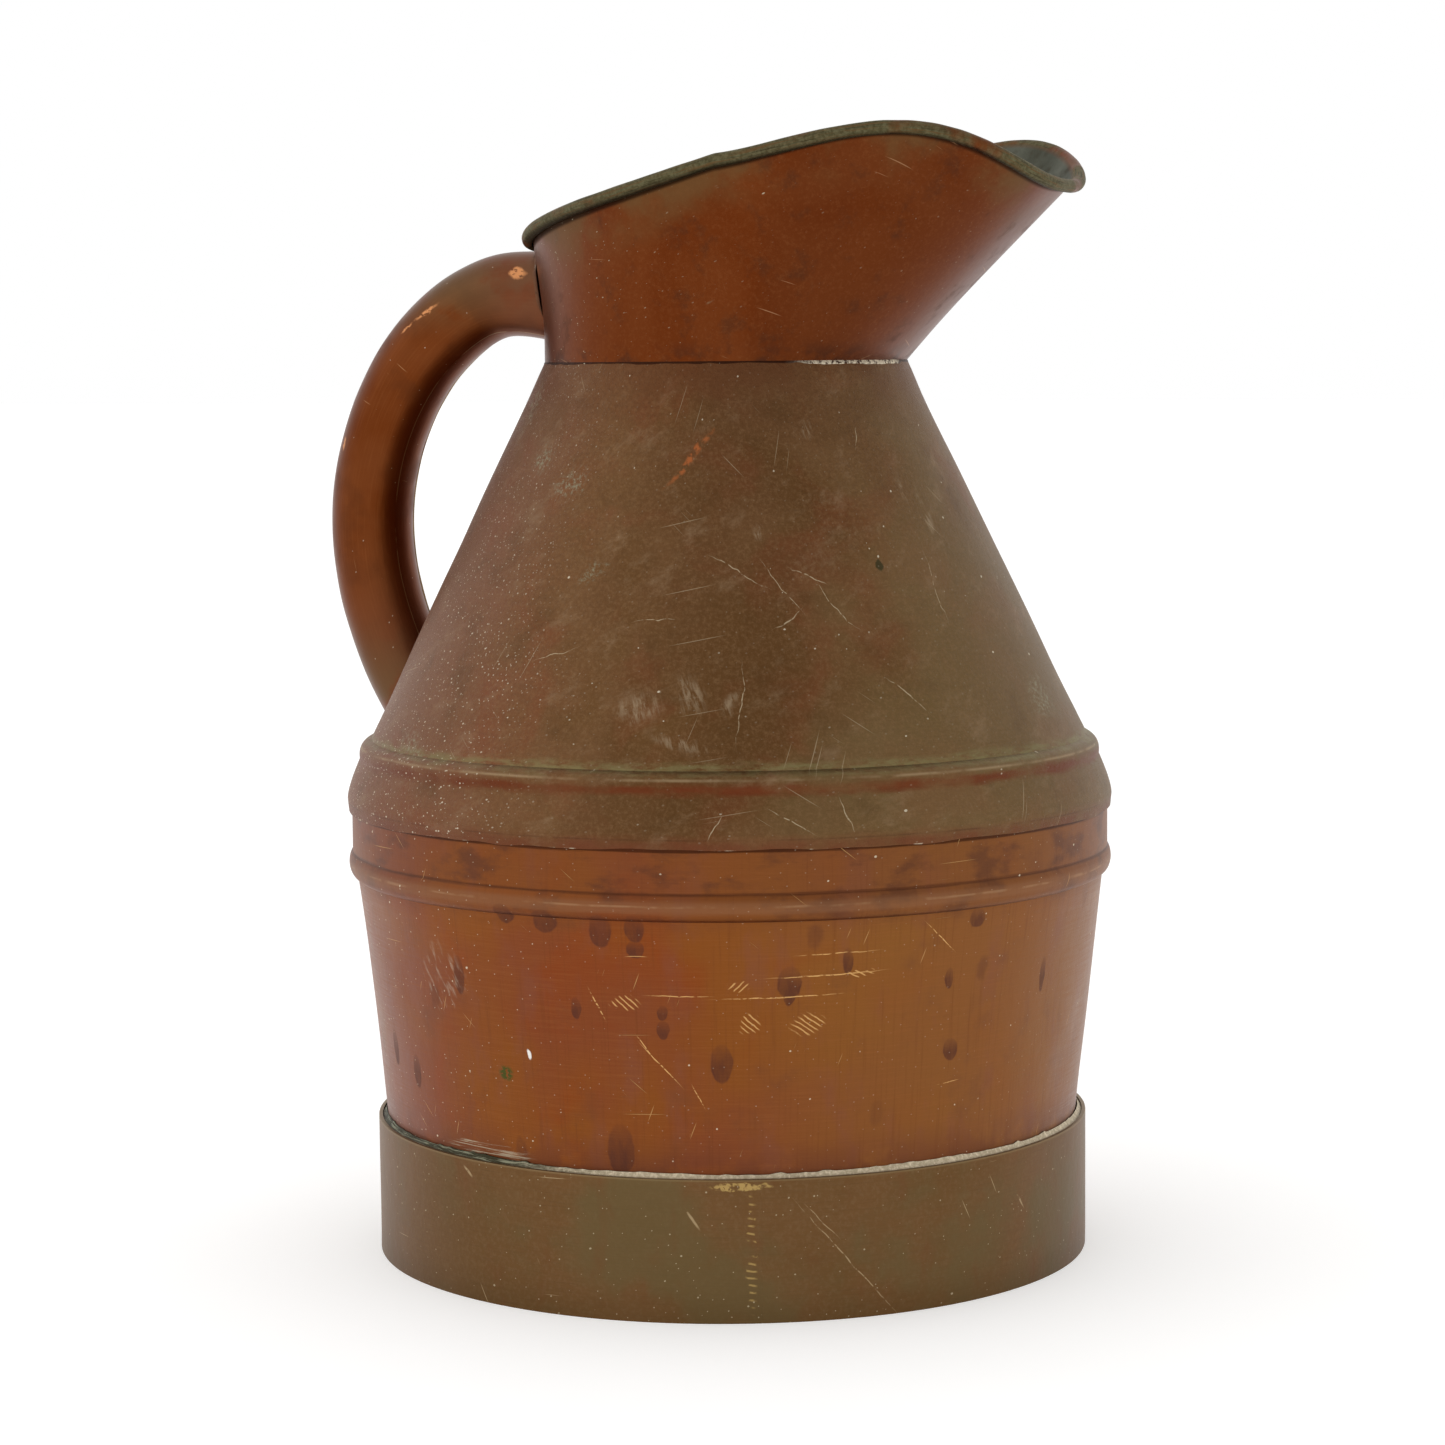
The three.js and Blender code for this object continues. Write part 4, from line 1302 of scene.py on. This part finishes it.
def grip_copper():
    """Copper polished by hands and duller at both ends."""
    s = Shader("grip_copper")
    cloud = s.ramp(s.noise(s.place, 0.035, 4.0), 0.35, 0.65)
    s.base(cloud, 0x652E0D, 0x6F3A1B)
    brushed = s.noise(s.measured(s.uv, (0.02, 0.0006)), 1.0, 4.0)
    s.coat(0x854D28, s.ramp(brushed, 0.45, 0.8), 0.3)
    dull = s.ramp(s.noise(s.place, 0.014, 5.0), 0.5, 0.7)
    s.coat(0x5C3018, dull, 0.4)
    foot = s.product(s.ramp(s.height, 0.225, 0.175), 0.6)
    s.coat(0x6E4834, foot)
    green = s.product(s.ramp(s.height, 0.205, 0.17), s.ramp(s.noise(s.place, 0.02, 4.0), 0.45, 0.6))
    s.coat(0x5F5238, green, 0.5)
    top = s.product(s.ramp(s.height, 0.288, 0.312), s.ramp(s.noise(s.place, 0.014, 4.0), 0.3, 0.52))
    s.coat(0x665238, top, 0.7)
    near_neck = s.product(s.ramp(s.component(s.uv, 0), 0.03, 0.006), 0.5)
    s.coat(0x6E4433, near_neck)
    ragged = s.wandering(s.uv, 0.003, 0.003)
    rubbed = s.largest(
        s.spot(ragged, (0.0065, 0.0505), (0.0035, 0.0026), 0.0, 0.5),
        s.spot(ragged, (0.038, 0.051), (0.0055, 0.0011), -0.15, 0.7),
        s.spot(ragged, (0.046, 0.05), (0.003, 0.0008), -0.1, 0.7),
        s.spot(ragged, (0.085, 0.047), (0.003, 0.001), 0.2, 0.7),
    )
    patchy = s.ramp(s.noise(s.uv, 0.0016, 4.0), 0.36, 0.52)
    s.coat(0xD8935F, rubbed, patchy, 0.85)
    scratch = s.largest(
        s.scratches(s.uv, 0.1, 0.012, 0.00012, 0.1, 32),
        s.scratches(s.uv, 1.2, 0.006, 0.00012, 0.1, 33),
    )
    s.coat(0xBB8A5E, scratch, 0.45)
    speck = s.specks(s.uv, 0.005, 0.00025, 0.35, 34)
    s.coat(0xC9B9A2, speck, 0.5)
    # A pale line along the shell's cut edge beside the strip: a painted highlight
    cut = s.product(s.attribute("cut"), s.ramp(s.noise(s.place, 0.012, 4.0), 0.35, 0.5))
    s.coat(0xB39A74, cut, 0.7)
    roughness = s.blend(dull, 0.38, 0.48)
    s.bump(brushed, 0.00003)
    s.bump(s.noise(s.place, 0.006, 3.0), 0.0001)
    return s.metal(roughness)


def band_metal():
    """A browner, brassier metal, with gold-coloured brazing along its seam."""
    s = Shader("band_metal")
    flat = at_height(s)
    cloud = s.ramp(s.noise(s.place, 0.05, 4.0), 0.35, 0.65)
    s.base(cloud, 0x694C2D, 0x6F5032)
    fine = s.noise(s.place, 0.0014, 4.0, 0.65)
    s.coat(0x82694B, s.ramp(fine, 0.4, 0.8), 0.35)
    brushed = s.noise(s.measured(flat, (0.015, 0.0005)), 1.0, 4.0, 0.6)
    s.coat(0x57402A, s.ramp(brushed, 0.45, 0.75), 0.25)
    green = s.product(s.ramp(s.noise(s.place, 0.04, 4.0), 0.48, 0.66), 0.5)
    s.coat(0x62583A, green)
    ruddy = s.product(s.ramp(s.noise(s.measured(flat, (0.012, 0.03)), 1.0, 3.0), 0.55, 0.75), 0.35)
    s.coat(0x6F4228, ruddy)
    dull_foot = s.product(s.ramp(s.height, 0.012, 0.0), 0.3)
    s.coat(0x554025, dull_foot)
    ticks = hatching(s, flat, BAND_TICKS, BAND_UV_R, 0.0022)
    ticks = s.product(ticks, s.ramp(s.noise(flat, 0.004, 4.0), 0.42, 0.56), 0.75)
    smear = mark(s, s.wandering(flat, 0.003, 0.003), BAND_SMEAR, BAND_UV_R)
    gold = s.largest(ticks, s.product(smear, s.ramp(s.noise(flat, 0.0016, 3.0), 0.4, 0.52)))
    long_scratch = marks_from(s, s.wandering(flat, 0.01, 0.002), BAND_GOUGES, BAND_UV_R, 0.6)
    scratch = s.largest(
        s.scratches(flat, 0.03, 0.012, 0.00012, 0.08, 41),
        s.scratches(flat, -1.1, 0.008, 0.00012, 0.08, 42),
        s.product(long_scratch, s.ramp(s.noise(flat, 0.003, 3.0), 0.38, 0.5)),
    )
    s.coat(0xB89A5E, gold, 0.8)
    s.coat(0xB9A27C, scratch, 0.6)
    speck = s.largest(
        s.specks(flat, 0.0024, 0.0002, 0.3, 44),
        s.specks(flat, 0.006, 0.0003, 0.4, 45),
        s.specks(flat, 0.016, 0.0004, 0.3, 46),
    )
    s.coat(0xC9BB9B, speck, 0.5)
    top = s.ramp(s.height, 0.0424, 0.0431)
    s.coat(0x8F7A58, top, 0.5)
    roughness = s.blend(fine, 0.4, 0.52)
    s.bump(fine, 0.00004)
    s.bump(s.noise(s.place, 0.006, 3.0), 0.00012)
    return s.metal(roughness)


def solder():
    """Plain grey soft solder."""
    s = Shader("solder")
    cloud = s.ramp(s.noise(s.place, 0.008, 5.0), 0.35, 0.65)
    s.base(cloud, 0x77746A, 0xA39E90)
    fine = s.noise(s.place, 0.0012, 4.0, 0.7)
    s.coat(0x625E52, s.ramp(fine, 0.5, 0.8))
    s.bump(s.noise(s.place, 0.003, 4.0), 0.0003)
    s.bump(fine, 0.0001)
    return s.metal(s.blend(fine, 0.45, 0.65))


def foot_solder():
    """The solder on the foot band: grey-green with dirt, but pale and clean round to the right."""
    s = Shader("foot_solder")
    fine = s.noise(s.place, 0.0012, 5.0, 0.7)
    x, y = s.component(s.place, 0), s.component(s.place, 1)
    across = s.math("ADD", s.math("ADD", x, s.product(y, -0.25)), s.product(fine, 0.03))
    pale = s.ramp(across, 0.015, 0.065)
    streaky = s.noise(s.measured(s.uv, (0.01, 0.0004)), 1.0, 3.0)
    dirty = s.mix(s.ramp(streaky, 0.5, 0.62), srgb(0x3F3C2C), srgb(0x8C8C76))
    clean = s.mix(s.ramp(fine, 0.4, 0.7), srgb(0xB3A58B), srgb(0xE0D2B8))
    s.colour = s.mix(pale, dirty, clean)
    low = s.ramp(s.height, 0.0436, 0.0428)
    s.coat(0x4A3A28, low, 0.5)
    s.bump(s.noise(s.place, 0.0025, 4.0), 0.0004)
    s.bump(fine, 0.00015)
    return s.metal(s.blend(fine, 0.45, 0.7))


def neck_seam_solder():
    """Solder in the neck's seam, dark brown as painted shade in the gap there, with one pale smear
    near the front right.
    """
    s = Shader("neck_seam_solder")
    fine = s.noise(s.place, 0.0012, 5.0, 0.7)
    ragged = s.wandering(s.place, 0.004, 0.006)
    x, y = s.component(ragged, 0), s.component(ragged, 1)
    pale = s.product(s.ramp(x, 0.046, 0.054), s.ramp(y, 0.004, -0.004))
    crumbs = s.ramp(s.noise(s.place, 0.005, 5.0, 0.7), 0.64, 0.7)
    bright = s.largest(s.product(pale, s.ramp(fine, 0.4, 0.55)), crumbs)
    # The dark brown is painted shade in the seam's gap
    s.base(bright, 0x3A2115, 0xCFC3AC)
    s.bump(s.noise(s.place, 0.003, 4.0), 0.0003)
    return s.metal(s.blend(fine, 0.4, 0.65))


def grip_solder():
    """Solder under the grip's own tarnish: only a few bright edges show."""
    s = Shader("grip_solder")
    fine = s.noise(s.place, 0.0015, 5.0, 0.7)
    bright = s.ramp(s.noise(s.place, 0.007, 4.0), 0.6, 0.7)
    s.base(s.product(bright, 0.6), 0x6E4A34, 0x938A78)
    s.coat(0x50382A, s.ramp(fine, 0.5, 0.75))
    s.bump(s.noise(s.place, 0.003, 4.0), 0.0003)
    return s.metal(s.blend(fine, 0.4, 0.6))


def iron_wire():
    s = Shader("iron_wire")
    rust = s.ramp(s.noise(s.place, 0.004, 5.0), 0.4, 0.65)
    s.base(rust, 0x55524D, 0x5A3A26)
    s.bump(s.noise(s.place, 0.0012, 4.0), 0.0002)
    return s.metal(s.blend(rust, 0.5, 0.85), s.blend(rust, 1.0, 0.2))


# ---------------------------------------------------------------- the jug

LOOKS = {
    "drum_copper": drum_copper(),
    "shoulder_copper": shoulder_copper(),
    "spout_copper": spout_copper(),
    "grip_copper": grip_copper(),
    "band_metal": band_metal(),
    "solder": solder(),
    "iron_wire": iron_wire(),
}
OWN_LOOKS = {
    "base_plate": base_copper(),
    "foot_band_solder": foot_solder(),
    "neck_solder": neck_seam_solder(),
    "handle_upper_solder": grip_solder(),
}
OWN_LOOKS["handle_lower_solder"] = OWN_LOOKS["handle_upper_solder"]

PIECES = [
    (foot_band, "band_metal"),
    (base_plate, "drum_copper"),
    (lower_body, "drum_copper"),
    (shoulder_cone, "shoulder_copper"),
    (neck_spout, "spout_copper"),
    (rim_wire, "iron_wire"),
    (handle_shell, "grip_copper"),
    (handle_strip, "grip_copper"),
    (foot_band_solder, "solder"),
    (base_solder, "solder"),
    (shoulder_lap_solder, "solder"),
    (neck_solder, "solder"),
    (handle_upper_solder, "solder"),
    (handle_lower_solder, "solder"),
]

for make, slot_name in PIECES:
    node_name = make.__name__
    made = make()
    made.name = "look_" + node_name
    made.data.materials.append(OWN_LOOKS.get(node_name, LOOKS[slot_name]))
    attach(made, "root")
    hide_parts(node_name)

# ---------------------------------------------------------------- studio, in metres

FLOOR_HALF = 20
FLOOR_GLOW = 0.26  # keeps the paper as white as the room behind it

def floor():
    """A wide sheet of white paper."""
    mesh = bpy.data.meshes.new("floor")
    signs = [(-1, -1), (1, -1), (1, 1), (-1, 1)]
    corners = [(x * FLOOR_HALF, y * FLOOR_HALF, 0) for x, y in signs]
    mesh.from_pydata(corners, [], [(0, 1, 2, 3)])
    thing = bpy.data.objects.new("floor", mesh)
    bpy.context.scene.collection.objects.link(thing)
    s = Shader("floor")
    paper = s.noise(s.place, 0.4, 2.0)
    s.base(s.product(paper, 0.2), 0xF6F6F5, 0xF0F0EF)
    shader = s.node("ShaderNodeBsdfPrincipled", {"Base Color": s.colour, "Roughness": 0.8})
    shader.inputs["Specular IOR Level"].default_value = 0.1
    shader.inputs["Emission Color"].default_value = (1, 1, 1, 1)
    shader.inputs["Emission Strength"].default_value = FLOOR_GLOW
    s.node("ShaderNodeOutputMaterial", {0: shader.outputs[0]})
    thing.data.materials.append(s.material)


def soft_light(name, place, target, size, power):
    lamp = bpy.data.lights.new(name, "AREA")
    lamp.shape = "RECTANGLE"
    lamp.size, lamp.size_y = size
    lamp.energy = power
    thing = bpy.data.objects.new(name, lamp)
    bpy.context.scene.collection.objects.link(thing)
    thing.location = place
    thing.rotation_euler = (Vector(target) - Vector(place)).to_track_quat("-Z", "Y").to_euler()


DIM_TOWARD = (0.68, -0.3, 0.6)
DIMMEST = 0.72


def white_room():
    """A white tent that is a little dimmer high up at the front right."""
    world = bpy.data.worlds.new("white_room")
    bpy.context.scene.world = world
    world.use_nodes = True
    tree = world.node_tree
    toward = tree.nodes.new("ShaderNodeTexCoord").outputs["Generated"]
    dot = tree.nodes.new("ShaderNodeVectorMath")
    dot.operation = "DOT_PRODUCT"
    tree.links.new(toward, dot.inputs[0])
    dot.inputs[1].default_value = Vector(DIM_TOWARD).normalized()
    level = tree.nodes.new("ShaderNodeMapRange")
    level.interpolation_type = "SMOOTHSTEP"
    tree.links.new(dot.outputs["Value"], level.inputs["Value"])
    for key, value in {"From Min": 0.35, "From Max": 1.0, "To Min": 1.0, "To Max": DIMMEST}.items():
        level.inputs[key].default_value = value
    tree.links.new(level.outputs[0], tree.nodes["Background"].inputs["Strength"])
    tree.nodes["Background"].inputs["Color"].default_value = (1, 1, 1, 1)


# The camera's place and aim at its angle round the jug. The lens and sensor are in millimetres
VIEW_ANGLE = math.radians(21.8)
VIEW_DISTANCE = 1.20258
VIEW_HEIGHT = 0.28483
VIEW_SIDE = -0.00209
VIEW_PITCH = math.radians(5.58)
VIEW_ROLL = math.radians(0.49)
SENSOR = 36
LENS = 93.78


def camera():
    back = Vector((math.sin(VIEW_ANGLE), -math.cos(VIEW_ANGLE), 0))
    right = Vector((math.cos(VIEW_ANGLE), math.sin(VIEW_ANGLE), 0))
    rise = Vector((0, 0, 1))
    forward = -back * math.cos(VIEW_PITCH) - rise * math.sin(VIEW_PITCH)
    up = -back * math.sin(VIEW_PITCH) + rise * math.cos(VIEW_PITCH)
    axis_x = right * math.cos(VIEW_ROLL) - up * math.sin(VIEW_ROLL)
    axis_y = right * math.sin(VIEW_ROLL) + up * math.cos(VIEW_ROLL)
    lens = bpy.data.cameras.new("camera")
    lens.sensor_width = SENSOR
    lens.lens = LENS
    thing = bpy.data.objects.new("camera", lens)
    bpy.context.scene.collection.objects.link(thing)
    turn = Matrix((axis_x, axis_y, -forward)).transposed().to_4x4()
    place = Vector((AXIS_X, 0, VIEW_HEIGHT)) + back * VIEW_DISTANCE + right * VIEW_SIDE
    thing.matrix_world = Matrix.Translation(place) @ turn
    bpy.context.scene.camera = thing


floor()
white_room()
soft_light("left", (-1.6, -1.2, 1.3), (0, 0, 0.15), (1.4, 1.4), 2)
soft_light("right", (2.0, -0.2, 1.3), (0, 0, 0.15), (1.4, 1.4), 2)
soft_light("above", (0.1, -0.3, 2.2), (0, 0, 0), (2, 2), 2)
camera()
bpy.context.scene.view_settings.view_transform = "Standard"
